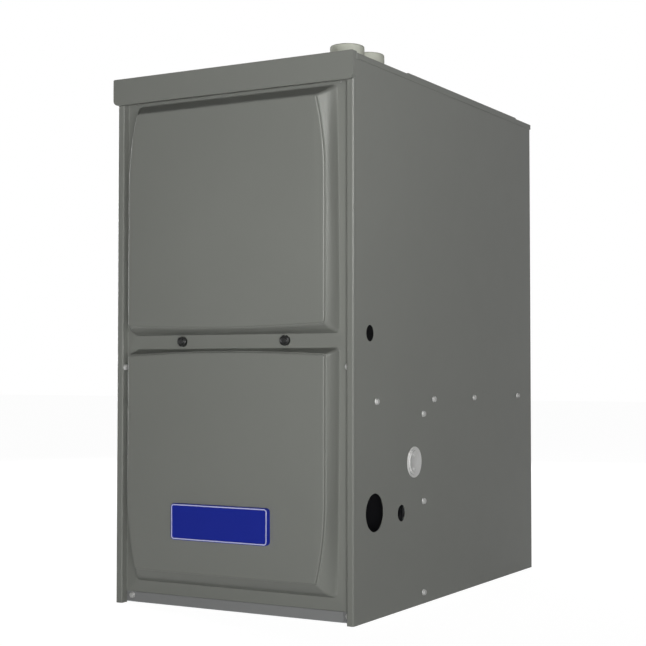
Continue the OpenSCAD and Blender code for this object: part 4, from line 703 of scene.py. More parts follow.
def between(a, b, share):
    """The outline part of the way from a to b. A list gives each point its own share."""
    shares = share if isinstance(share, list) else [share] * len(a)
    return [(p[0] + s * (q[0] - p[0]), p[1] + s * (q[1] - p[1])) for p, q, s in zip(a, b, shares)]


def flatness(outer, inner):
    """How straight the bevel runs at each point of its outline.

    Fully at the top, partly at the foot, and at the sides the more the wider the bevel is.
    """
    result = []
    for before, here, after, facing in zip(outer[-1:] + outer[:-1], outer, outer[1:] + outer[:1], inner):
        run = Vector((after[0] - before[0], after[1] - before[1])).normalized()
        across = run.x * run.x
        width = math.dist(here, facing)
        side = min(SIDE_FLATNESS * max(0.0, width - NARROW_BEVEL), MOST_FLATNESS)
        result.append(across * (1.0 if run.x < 0 else FOOT_FLATNESS) + (1.0 - across) * side)
    return result


def pressed_door(name, node, bevel, panel, bow, border):
    """One pressed door: a flat border, a fillet, the rounded bevel, a stepped lip and the face."""
    own = sizes()
    low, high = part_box(node)
    recess = (high.y - FRONT) / MM - own.skin
    face = (low.y - FRONT) / MM
    rise = recess - face
    foot = own.foot_radius
    outer = door_outline(*bevel, bevel_reach, (0, 0), BEVEL_CORNER, 0)
    spread = door_outline(bevel[0], bevel[1], bevel_reach, (0, 0), BEVEL_CORNER, -foot * 0.6)
    edge = door_outline(*panel, panel_reach, bow, PANEL_CORNER, 0)
    ledge = [door_outline(*panel, panel_reach, bow, PANEL_CORNER, -own.ledge * k) for k in (1.0, 0.6, 0.25)]
    straight = flatness(outer, ledge[0])
    lip = own.lip_radius
    wall = rise - lip - own.lip_step - 0.5
    rings = [(spread, recess), (between(spread, outer, 0.55), recess - foot * 0.10),
             (between(spread, outer, 0.88), recess - foot * 0.35)]
    steps = 14
    for k in range(1, steps + 1):
        a = math.radians(ROLL_ANGLE * k / steps)
        s = (1 - math.cos(a)) / (1 - math.cos(math.radians(ROLL_ANGLE)))
        g = math.sin(a) / math.sin(math.radians(ROLL_ANGLE))
        rings.append((between(outer, ledge[0], [s + (g - s) * w for w in straight]), recess - wall * g))
    rings.append((ledge[1], recess - wall - 0.35))
    rings.append((ledge[2], recess - wall - 0.5))
    rings.append((edge, recess - wall - 0.6))
    top = recess - wall - 0.5 - own.lip_step
    rings.append((edge, top))
    for k in range(1, 7):
        a = math.radians(90 * k / 6)
        inner = door_outline(*panel, panel_reach, bow, PANEL_CORNER, lip * (1 - math.cos(a)))
        rings.append((inner, top - lip * math.sin(a)))

    work = bmesh.new()
    made = [[work.verts.new(at(x, d, z)) for x, z in outline] for outline, d in rings]
    for a, b in zip(made, made[1:]):
        join_rings(work, a, b)
    cap = work.faces.new(made[-1])
    bmesh.ops.triangulate(work, faces=[cap])
    frame_loop = [work.verts.new(at(x, recess, z)) for x, z in border]
    rim = [work.edges.new((a, b)) for a, b in zip(frame_loop, frame_loop[1:] + frame_loop[:1])]
    inner = [e for a, b in zip(made[0], made[0][1:] + made[0][:1]) for e in (work.edges.get((a, b)),)]
    bmesh.ops.triangle_fill(work, edges=rim + inner, use_beauty=True)
    bmesh.ops.recalc_face_normals(work, faces=work.faces)
    facing = max(work.faces, key=lambda f: f.calc_area())
    if facing.normal.y > 0:
        bmesh.ops.reverse_faces(work, faces=work.faces)
    piece = from_bmesh(name, work, 30.0, tidy=False)
    wall_mod = piece.modifiers.new("skin", "SOLIDIFY")
    wall_mod.thickness = own.skin * MM
    wall_mod.offset = -1.0
    wall_mod.use_quality_normals = True
    settled(piece)
    smooth_by_angle(piece.data, 28.0)
    return finished(piece, node, finish("paint"))


class PressDoors(bpy.types.Operator):
    """Press both doors: border, rounded bevel, stepped lip and raised panel"""

    bl_idname = "furnace.press_doors"
    bl_label = "Press the doors"

    def execute(self, context):
        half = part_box("upper_door")[1].x / MM
        upper = [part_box("upper_door")[i].z / MM for i in (0, 1)]
        lower = [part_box("lower_door")[i].z / MM for i in (0, 1)]
        pressed_door(
            "upper_door_skin", "upper_door", (UPPER_FOOT, upper[1] - UPPER_BORDER),
            (UPPER_FOOT + UPPER_INNER, upper[1] - UPPER_BORDER - UPPER_DROP),
            (INNER_BOW, FAR_BOW),
            [(-half, upper[0]), (half, upper[0]), (half, upper[1] + 0.02), (-half, upper[1] + 0.02)])
        notch, depth = 6.7, 4.2
        middle = RETURN_SCREW_HEIGHT
        side = [(half, middle - notch), (half - depth, middle - notch + 2),
                (half - depth, middle + notch - 2), (half, middle + notch)]
        pressed_door(
            "lower_door_skin", "lower_door", (LOWER_BEVEL_FOOT, lower[1] - 0.02),
            (LOWER_PANEL_FOOT, lower[1] - LOWER_INNER),
            (FAR_BOW, INNER_BOW),
            [(-half, lower[0]), (half, lower[0]), *side, (half, lower[1] + 0.02), (-half, lower[1] + 0.02),
             *[(-x, z) for x, z in reversed(side)]])
        return {"FINISHED"}


# ---------------------------------------------------------------- knobs, badge, collars, plug


class TurnKnobs(bpy.types.Operator):
    """Turn the two latch knobs, each with its rim, groove, slotted hub and latch bar"""

    bl_idname = "furnace.turn_knobs"
    bl_label = "Turn the knobs"

    def execute(self, context):
        for node in ("left_knob", "right_knob"):
            low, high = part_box(node)
            centre = Vector(((low.x + high.x) / 2, 0, (low.z + high.z) / 2))
            front = (low.y - FRONT) / MM
            seat, back = 12.0, (high.y - FRONT) / MM
            origin = Vector((centre.x, FRONT + seat * MM, centre.z))
            tall = seat - front
            work = bmesh.new()
            lathed(work, [
                (0, -1.0), (4.0, -1.0), (4.0, 0.0), (7.7, 0.0), (8.0, 0.3), (8.0, tall - 1.3),
                *arc((6.9, tall - 1.1), 1.1, 0, 90, 5), (6.2, tall - 0.1), (5.8, tall - 1.3),
                (4.8, tall - 1.5), (4.4, tall - 1.3), (4.1, tall - 0.5), (3.8, tall - 0.35), (0, tall - 0.35),
            ], origin, (0, -1, 0), 72)
            lathed(work, [(0, 0), (2.0, 0), (2.0, back - seat - 0.5), (0, back - seat - 0.5)],
                   origin, (0, 1, 0), 24)
            hub = front + 0.35
            cx, cz = centre.x / MM, centre.z / MM
            for side in (-1, 1):
                slab(work, (cx - 3.0, cx + 3.0), (hub - 0.3, hub + 0.6),
                     sorted((cz + side * 0.75, cz + side * 2.3)))
            slab(work, (low.x / MM, high.x / MM), (back - 2.0, back), (cz - 1.5, cz + 1.5))
            piece = from_bmesh(node + "_moulding", work)
            finished(rounded(piece, 0.2), node, finish("knob"))
        return {"FINISHED"}


class MountBadge(bpy.types.Operator):
    """Mount the blank badge: a rounded plate with a thin pale line round its field"""

    bl_idname = "furnace.mount_badge"
    bl_label = "Mount the badge"

    def execute(self, context):
        own = sizes()
        low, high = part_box("badge_plate")
        wide, tall = (high.x - low.x) / MM, (high.z - low.z) / MM
        cx, cz = (low.x + high.x) / 2 / MM, (low.z + high.z) / 2 / MM
        front, back = (low.y - FRONT) / MM, (high.y - FRONT) / MM
        soft = 0.3
        corner = 6.0
        ring = lambda inset, r: tablet(wide - 2 * inset, tall - 2 * inset, max(1.0, r - inset))
        rim = own.badge_margin + own.badge_line + 0.4
        field = front + 0.15
        rings = [(ring(0, corner), back), (ring(0, corner), field + soft)]
        rings += [(ring(soft * (1 - math.cos(a)), corner), field + soft * (1 - math.sin(a)))
                  for a in (math.radians(90 * k / 5) for k in range(1, 6))]
        rings += [(ring(rim, corner), field), (ring(rim + 0.5, corner), field + 0.6)]
        plate = upright_form("badge_field", rings, cx, cz)
        finished(plate, "badge_plate", finish("badge"))
        out, inn = own.badge_margin, own.badge_margin + own.badge_line
        line_rings = [(ring(out, corner), front + 0.4), (ring(out, corner), front + 0.1),
                      (ring(out + 0.1, corner), front), (ring(inn - 0.1, corner), front),
                      (ring(inn, corner), front + 0.1), (ring(inn, corner), front + 0.4),
                      (ring(out, corner), front + 0.4)]
        line = upright_form("badge_line", line_rings, cx, cz, closed=False)
        finished(line, "badge_plate", finish("badge_line"), replaced=False)
        return {"FINISHED"}


class TurnCollars(bpy.types.Operator):
    """Turn the two flue collars with their flanges, sockets and rounded rims"""

    bl_idname = "furnace.turn_collars"
    bl_label = "Turn the flue collars"

    def execute(self, context):
        for node in ("exhaust_collar", "intake_collar"):
            low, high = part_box(node)
            centre = Vector(((low.x + high.x) / 2, (low.y + high.y) / 2, 0))
            top, foot = high.z / MM, low.z / MM
            plate = foot + 14.0
            stop = plate + 1.0
            wall, bore = 27.0, 24.3
            profile = [
                (bore, foot), (wall, foot), (wall, plate), (33.0, plate), (33.0, plate + 1.4),
                (32.4, plate + 2.0),
                (wall + 1.2, plate + 2.0), (wall + 0.3, plate + 2.4), (wall, plate + 3.4),
                *arc((wall - 2.6, top - 2.6), 2.6, 0, 75, 7), (bore + 0.6, top), (bore, top - 0.8),
                (bore, stop + 4.0), (bore - 4.0, stop + 4.0), (bore - 4.0, stop - 1.0),
                (bore, stop - 1.0), (bore, foot),
            ]
            work = bmesh.new()
            lathed(work, profile, centre, (0, 0, 1), 96)
            piece = from_bmesh(node + "_moulding", work)
            finished(piece, node, finish("collar"))
        return {"FINISHED"}


class PressPlug(bpy.types.Operator):
    """Press in the hole plug, with its rings and its two small moulding marks"""

    bl_idname = "furnace.press_plug"
    bl_label = "Press in the hole plug"

    def execute(self, context):
        low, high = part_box("hole_plug")
        proud = 2.2
        origin = Vector((high.x - proud * MM, (low.y + high.y) / 2, (low.z + high.z) / 2))
        rim = (high.z - low.z) / 2 / MM
        work = bmesh.new()
        lathed(work, [
            (0, -1.0), (rim - 5.5, -1.0), (rim - 5.2, -8.0), (rim - 2.9, -8.0), (rim - 2.9, 0.0),
            (rim, 0.0), (rim, 1.2),
            *arc((rim - 1.0, 1.2), 1.0, 0, 75, 5), (rim - 1.6, 2.1), (rim - 5.2, 0.6), (rim - 6.0, 0.5),
            (rim - 6.6, 2.0), (rim - 7.3, 2.1), (rim - 11.0, 0.5), (0, 0.4),
        ], origin, (1, 0, 0), 96)
        for side in (-1, 1):
            spot = origin + Vector((0.3 * MM, 0, side * (rim - 13.6) * MM))
            lathed(work, [(0, 0), (2.6, 0), (2.4, 0.7), (1.2, 0.9), (0, 0.9)], spot, (1, 0, 0), 24)
        finished(from_bmesh("hole_plug_moulding", work), "hole_plug", finish("plug"))
        return {"FINISHED"}


# ---------------------------------------------------------------- screws


def screw_recipe():
    """Hex washer screws on the carrier's points, heads along Facing."""
    recipe = Recipe("screws", [("Facing", "Vector"), ("Washer", "Float"), ("Flats", "Float"),
                               ("Head", "Float"), ("Shank", "Float"), ("Material", "Material")])
    lift = lambda geometry, z: recipe.node(
        "GeometryNodeTransform", {}, {"Geometry": geometry, "Translation": recipe.triple(z=z)})
    thin = recipe.maths("MULTIPLY", recipe["Head"], 0.26)
    washer = recipe.node("GeometryNodeMeshCone", {}, {
        "Vertices": 28, "Radius Bottom": recipe["Washer"],
        "Radius Top": recipe.maths("MULTIPLY", recipe["Washer"], 0.86), "Depth": thin})
    corner = recipe.maths("MULTIPLY", recipe["Flats"], 0.5774)
    body_tall = recipe.maths("MULTIPLY", recipe["Head"], 0.56)
    body = recipe.node("GeometryNodeMeshCylinder", {}, {"Vertices": 6, "Radius": corner, "Depth": body_tall})
    crown_tall = recipe.maths("MULTIPLY", recipe["Head"], 0.18)
    crown = recipe.node("GeometryNodeMeshCone", {}, {
        "Vertices": 6, "Radius Bottom": corner, "Radius Top": recipe.maths("MULTIPLY", corner, 0.80),
        "Depth": crown_tall})
    shank = recipe.node("GeometryNodeMeshCylinder", {}, {
        "Vertices": 12, "Radius": 0.0019, "Depth": recipe["Shank"]})
    half = recipe.maths("MULTIPLY", body_tall, 0.5)
    screw = recipe.join(
        washer, lift(body, recipe.maths("ADD", thin, half)),
        lift(crown, recipe.maths("ADD", thin, body_tall)),
        lift(shank, recipe.maths("MULTIPLY", recipe["Shank"], -0.5)))
    turn = recipe.node("FunctionNodeAlignRotationToVector", {"axis": "Z"}, {"Vector": recipe["Facing"]})
    placed = recipe.node("GeometryNodeInstanceOnPoints", {}, {
        "Points": recipe["Geometry"], "Instance": screw, "Rotation": turn})
    return recipe.close(placed)


def point_mesh(name, points):
    mesh = bpy.data.meshes.new(name)
    mesh.from_pydata([tuple(p) for p in points], [], [])
    return mesh


SIDE_SPOTS = [(72.8, 327.0), (276.3, 327.0), (440.5, 327.0), (642.6, 327.0),
              (236.0, 304.0), (236.0, 164.0), (236.0, 18.0)]


class DriveScrews(bpy.types.Operator):
    """Drive the hex washer screws of the walls, the front returns and the base rail"""

    bl_idname = "furnace.drive_screws"
    bl_label = "Drive the screws"

    def execute(self, context):
        recipe = screw_recipe()
        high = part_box("casing")[1]
        wall, back = high.x / MM, (high.y - FRONT) / MM
        inner = 206.0
        sets = {
            "side_screws": [
                ((side, 0, 0), [at(side * wall, d, z) for d, z in SIDE_SPOTS]) for side in (-1, 1)],
            "back_screws": [
                ((0, 1, 0), [at(x, back, z) for x in (-157.0, 0.0, 157.0) for z in (327.0, 18.0)])],
            "front_screws": [
                ((-side, 0, 0), [at(side * inner, 6.5, RETURN_SCREW_HEIGHT)]) for side in (-1, 1)]
            + [((0, -1, 0), [at(side * 199.5, 20.0, 11.0) for side in (-1, 1)])],
        }
        for node, groups in sets.items():
            parts = [recipe.make(
                f"{node}_{i}", point_mesh(node, spots), finish("screw"), facing=facing, washer=0.0052,
                flats=0.008, head=0.0042, shank=0.008) for i, (facing, spots) in enumerate(groups)]
            work = bmesh.new()
            for part in parts:
                work.from_mesh(part.data)
                bpy.data.objects.remove(part)
            piece = from_bmesh(node + "_hex", work)
            finished(rounded(piece, 0.18), node, finish("screw"))
        return {"FINISHED"}


# ---------------------------------------------------------------- small forms


def soft_slab(work, x, d, z, soft=0.5, steps=2):
    """Adds a box with rounded edges."""
    corners = slab(work, x, d, z)
    edges = {edge for corner in corners for edge in corner.link_edges}
    bmesh.ops.bevel(work, geom=list(edges), offset=soft * MM, segments=steps, profile=0.5, affect="EDGES")


def rod(work, start, axis, radius, length, soft=0.3, segments=32):
    """Adds a round bar with softened rims, or a hexagonal one with 6 segments."""
    lathed(work, [(0, 0), (radius - soft, 0), (radius, soft), (radius, length - soft),
                  (radius - soft, length), (0, length)], start, axis, segments)


def plank(work, start, along, across, length, width, thick):
    """Adds a flat bar that runs along one direction and is wide across another."""
    along, across = Vector(along).normalized(), Vector(across).normalized()
    lift = along.cross(across)
    corners = [work.verts.new(start + (along * length * i + across * width * (j - 0.5)
                                       + lift * thick * (k - 0.5)) * MM)
               for i in (0, 1) for j in (0, 1) for k in (0, 1)]
    for face in BOX_FACES:
        work.faces.new([corners[i] for i in face])


def made(name, node, look, build, replaced=False, angle=32.0):
    """A piece whose mesh build(work) draws, riding with a node."""
    work = bmesh.new()
    build(work)
    return finished(from_bmesh(name, work, angle), node, finish(look), replaced=replaced)


def route_of(points, steps=6):
    """A smooth curve through points, each (x, d, z) in mm."""
    ends = [Vector(p) for p in points]
    route = []
    for i in range(len(ends) - 1):
        a, b, c, d = ends[max(i - 1, 0)], ends[i], ends[i + 1], ends[min(i + 2, len(ends) - 1)]
        for k in range(steps):
            t = k / steps
            route.append(0.5 * (2 * b + (c - a) * t + (2 * a - 5 * b + 4 * c - d) * t * t
                                + (3 * b - a - 3 * c + d) * t * t * t))
    route.append(ends[-1])
    return [at(*p) for p in route]


def framed(route):
    """Each point of a route with two directions square to it that don't twist."""
    side, frames = None, []
    for i, point in enumerate(route):
        along = (route[min(i + 1, len(route) - 1)] - route[max(i - 1, 0)]).normalized()
        side = along.orthogonal() if side is None else side - along * side.dot(along)
        side = side.normalized()
        frames.append((point, side, along.cross(side)))
    return frames


def strand(work, frames, radius, lay=0.0, turn=0.0, pitch=110.0, sides=10):
    """Adds a tube along framed points; lay winds it round the middle at that distance."""
    gone, rings = 0.0, []
    for i, (point, side, up) in enumerate(frames):
        gone += (point - frames[i - 1][0]).length / MM if i else 0.0
        angle = turn + 2 * math.pi * gone / pitch
        middle = point + (side * math.cos(angle) + up * math.sin(angle)) * lay * MM
        rings.append([work.verts.new(middle + (
            side * math.cos(2 * math.pi * k / sides) + up * math.sin(2 * math.pi * k / sides)) * radius * MM)
            for k in range(sides)])
    for low, high in zip(rings, rings[1:]):
        join_rings(work, low, high)
    work.faces.new(list(reversed(rings[0])))
    work.faces.new(rings[-1])


def band(work, frame, axis, radius, width, thick):
    """Adds a ring round a bundle, with the square head of a cable tie."""
    inner, outer = radius, radius + thick
    lathed(work, [(inner, -width / 2), (outer, -width / 2), (outer, width / 2), (inner, width / 2),
                  (inner, -width / 2)], frame[0], axis, 24)
    plank(work, frame[0] + frame[1] * (radius - 0.4) * MM, frame[1], frame[2], 3.6, 4.2, 3.4)


def ring_recipe():
    """Copies of the carrier, which lies round the origin, turned evenly about an axis."""
    recipe = Recipe("ring_of", [
        ("Count", "Int"), ("Axis", "Vector"), ("Centre", "Vector"), ("Material", "Material")])
    dots = recipe.node("GeometryNodePoints", {}, {"Count": recipe["Count"]})
    index = recipe.node("GeometryNodeInputIndex")
    angle = recipe.maths("DIVIDE", recipe.maths("MULTIPLY", index, 2 * math.pi), recipe["Count"])
    turn = recipe.node("ShaderNodeVectorMath", {"operation": "SCALE"}, {0: recipe["Axis"], "Scale": angle})
    euler = recipe.node("FunctionNodeEulerToRotation", {}, {0: turn})
    placed = recipe.node("GeometryNodeInstanceOnPoints", {}, {
        "Points": dots, "Instance": recipe["Geometry"], "Rotation": euler})
    return recipe.close(recipe.node("GeometryNodeTransform", {}, {
        "Geometry": placed, "Translation": recipe["Centre"]}))


def row_recipe():
    """Copies of the carrier, each moved on from the last by one step."""
    recipe = Recipe("row_of", [("Count", "Int"), ("Step", "Vector"), ("Material", "Material")])
    dots = recipe.node("GeometryNodePoints", {}, {"Count": recipe["Count"]})
    index = recipe.node("GeometryNodeInputIndex")
    shift = recipe.node("ShaderNodeVectorMath", {"operation": "SCALE"}, {0: recipe["Step"], "Scale": index})
    spread = recipe.node("GeometryNodeSetPosition", {}, {"Geometry": dots, "Offset": shift})
    return recipe.close(recipe.node("GeometryNodeInstanceOnPoints", {}, {
        "Points": spread, "Instance": recipe["Geometry"]}))


RECIPES = {}


def recipe_of(kind):
    if kind.__name__ not in RECIPES:
        RECIPES[kind.__name__] = kind()
    return RECIPES[kind.__name__]


def carrier(name, build):
    """A mesh that a recipe repeats."""
    work = bmesh.new()
    build(work)
    bmesh.ops.remove_doubles(work, verts=work.verts, dist=1e-7)
    bmesh.ops.recalc_face_normals(work, faces=work.faces)
    mesh = bpy.data.meshes.new(name)
    work.to_mesh(mesh)
    work.free()
    return mesh


def ring_of(name, node, look, build, count, axis, centre, replaced=False):
    piece = recipe_of(ring_recipe).make(
        name, carrier(name, build), finish(look), count=count, axis=axis, centre=tuple(centre))
    smooth_by_angle(piece.data)
    return finished(piece, node, finish(look), replaced=replaced)


def row_of(name, node, look, build, count, step):
    piece = recipe_of(row_recipe).make(
        name, carrier(name, build), finish(look), count=count, step=tuple(s * MM for s in step))
    smooth_by_angle(piece.data)
    return finished(piece, node, finish(look), replaced=False)


def heads(name, node, spots, facing, flats=7.0, head=3.4):
    """Hex washer screws of zinc plate standing on a node."""
    piece = recipe_of(screw_recipe).make(
        name, point_mesh(name, [at(*s) for s in spots]), finish("zinc"), facing=facing,
        washer=flats * 0.65 * MM,
        flats=flats * MM, head=head * MM, shank=0.002)
    smooth_by_angle(piece.data)
    return finished(piece, node, finish("zinc"), replaced=False)


# ---------------------------------------------------------------- wires and hoses

TRUNK = [(-138, 202.4, 274), (-138, 190.4, 290), (-158, 188.4, 306), (-178, 190, 312), (-182, 190, 338),
         (-186, 188, 378), (-192, 178, 438), (-194, 170, 518), (-192, 156, 568)]
TO_VALVE = [(-192, 156, 568), (-184, 110, 584), (-170, 90, 580), (-104, 76, 588), (-84, 64, 590)]
LEADS = {
    "wire_blue": [
        [(-192, 156, 566), (-184, 150, 570), (-170, 158, 560), (-162, 172, 549), (-162, 181, 545.6)],
        [(-196, 158, 562), (-198, 150, 640), (-196, 138, 720), (-180, 132, 757), (-110, 128, 764),
         (-92, 130, 763)],
    ],
    "wire_black": [
        [(-192, 158, 564), (-176, 142, 562), (-152, 156, 556), (-142, 172, 549), (-142, 181, 545.6)],
        [(-198, 160, 560), (-200, 152, 640), (-198, 140, 724), (-178, 134, 762), (-40, 136, 768),
         (-4, 132, 766)],
    ],
    "wire_orange": [
        [(-190, 152, 568), (-190, 104, 612), (-180, 72, 640), (-168, 56, 656), (-164, 56, 668)],
        [(-138, 202, 276), (-126, 196, 286), (-104, 196, 284), (-96, 203, 272)],
    ],
    "wire_white": [
        [(-188, 148, 570), (-186, 112, 620), (-160, 96, 638), (0, 92, 637), (70, 84, 640),
         (80, 70, 652), (80, 75, 664)],
        [(-188, 150, 573), (-184, 116, 624), (-158, 99, 640), (2, 96, 640), (76, 84, 642),
         (88, 68, 650), (88, 75, 664)],
        [(-138, 202, 278), (-120, 192, 292), (-88, 194, 290), (-74, 203, 272)],
    ],
    "wire_red": [
        [(-138, 202, 280), (-116, 188, 296), (-66, 190, 294), (-54, 203, 272)],
        [(-150, 200, 128), (-130, 196, 110), (-80, 184, 118), (-44, 182, 136), (-28, 186, 138)],
    ],
    "wire_yellow": [
        [(-148, 200, 126), (-126, 198, 104), (-76, 186, 112), (-40, 184, 142), (-16, 186, 138)],
    ],
}
TRUNK_COLOURS = ("wire_red", "wire_white", "wire_blue", "wire_black", "wire_orange", "wire_yellow",
                 "wire_green", "wire_black")
VALVE_COLOURS = ("wire_orange", "wire_yellow", "wire_green")


class LayWires(bpy.types.Operator):
    """Lay the coloured wires in their bundles, with cable ties and single leads"""

    bl_idname = "furnace.lay_wires"
    bl_label = "Lay the wires"

    def execute(self, context):
        thick = sizes().wire / 2
        works = {}
        bundle = lambda look: works.setdefault(look, bmesh.new())
        trunk, valve = framed(route_of(TRUNK)), framed(route_of(TO_VALVE))
        for k, look in enumerate(TRUNK_COLOURS):
            strand(bundle(look), trunk, thick, 5.5 - thick, 2 * math.pi * k / len(TRUNK_COLOURS))
        for k, look in enumerate(VALVE_COLOURS):
            strand(bundle(look), valve, thick, 1.6, 2 * math.pi * k / len(VALVE_COLOURS), 60.0)
        for look, routes in LEADS.items():
            for route in routes:
                strand(bundle(look), framed(route_of(route)), thick * 0.85)
        for look, work in works.items():
            finished(from_bmesh("leads_" + look, work), "wiring_harness", finish(look))

        def ties(work):
            for frames, radius in ((trunk, 5.6), (valve, 3.0)):
                for i in range(6, len(frames) - 4, 9):
                    axis = frames[i][1].cross(frames[i][2])
                    band(work, frames[i], axis, radius, 2.6, 0.9)

        made("cable_ties", "wiring_harness", "white", ties)

        def plugs(work):
            soft_slab(work, (-93.0, -82.2), (55.0, 73.0), (581.0, 599.0), 0.8)
            soft_slab(work, (-143.5, -132.5), (199.0, 206.0), (268.0, 277.0), 0.8)
            soft_slab(work, (75.5, 92.5), (70.5, 77.0), (659.0, 667.0), 0.8)

        made("wire_plugs", "wiring_harness", "white", plugs)

        def boots(work):
            for x in (-162, -142):
                rod(work, at(x, 176, 545.6), (0, 1, 0), 2.3, 12, 0.5, 16)
            rod(work, at(-164, 60, 670), (0, -1, 0), 2.3, 7, 0.5, 16)
            for x in (-96, -74, -54):
                rod(work, at(x, 203, 272), (0, 0, -1), 2.3, 9, 0.5, 16)

        made("wire_boots", "wiring_harness", "red", boots)
        return {"FINISHED"}


PRESSURE_ROUTE = [(-152, 184.9, 534), (-152, 166.9, 534), (-144, 142.9, 526), (-118, 126.9, 500),
                  (-76.2, 90.5, 508), (-28.5, 88.5, 490), (-10.5, 88.5, 490)]


class FitHoses(bpy.types.Operator):
    """Fit the pressure switch's tube and the drain hose with its two clamps"""

    bl_idname = "furnace.fit_hoses"
    bl_label = "Fit the hoses"

    def execute(self, context):
        made("pressure_tube", "pressure_hose", "silicone",
             lambda work: strand(work, framed(route_of(PRESSURE_ROUTE, 10)), 4.5, sides=20), replaced=True)
        low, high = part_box("drain_hose")
        centre = Vector(((low.x + high.x) / 2, (low.y + high.y) / 2, 0))
        foot, top = low.z / MM, high.z / MM
        hose = [(7.6, foot), (9.2, foot), (9.5, foot + 0.4), (9.5, foot + 12)]
        rib = foot + 14
        while rib < top - 22:
            hose += [(9.5, rib), (10.1, rib + 1.6), (10.1, rib + 3.2), (9.5, rib + 4.8)]
            rib += 7.0
        hose += [(9.5, top - 12), (9.5, top - 0.4), (9.2, top), (7.6, top), (7.6, foot)]
        made("drain_hose_moulding", "drain_hose", "hose",
             lambda work: lathed(work, hose, centre, (0, 0, 1), 40), replaced=True)

        def clamps(work):
            for z in (foot + 3, top - 9):
                lathed(work, [(9.6, z), (10.6, z), (10.9, z + 0.4), (10.9, z + 5.6), (10.6, z + 6),
                              (9.6, z + 6),
                              (9.6, z)], centre, (0, 0, 1), 40)
                soft_slab(work, (centre.x / MM - 4, centre.x / MM + 4), (184.6, 188), (z + 0.5, z + 5.5), 0.5)

        made("drain_clamps", "drain_hose", "zinc", clamps)
        return {"FINISHED"}


# ---------------------------------------------------------------- controls


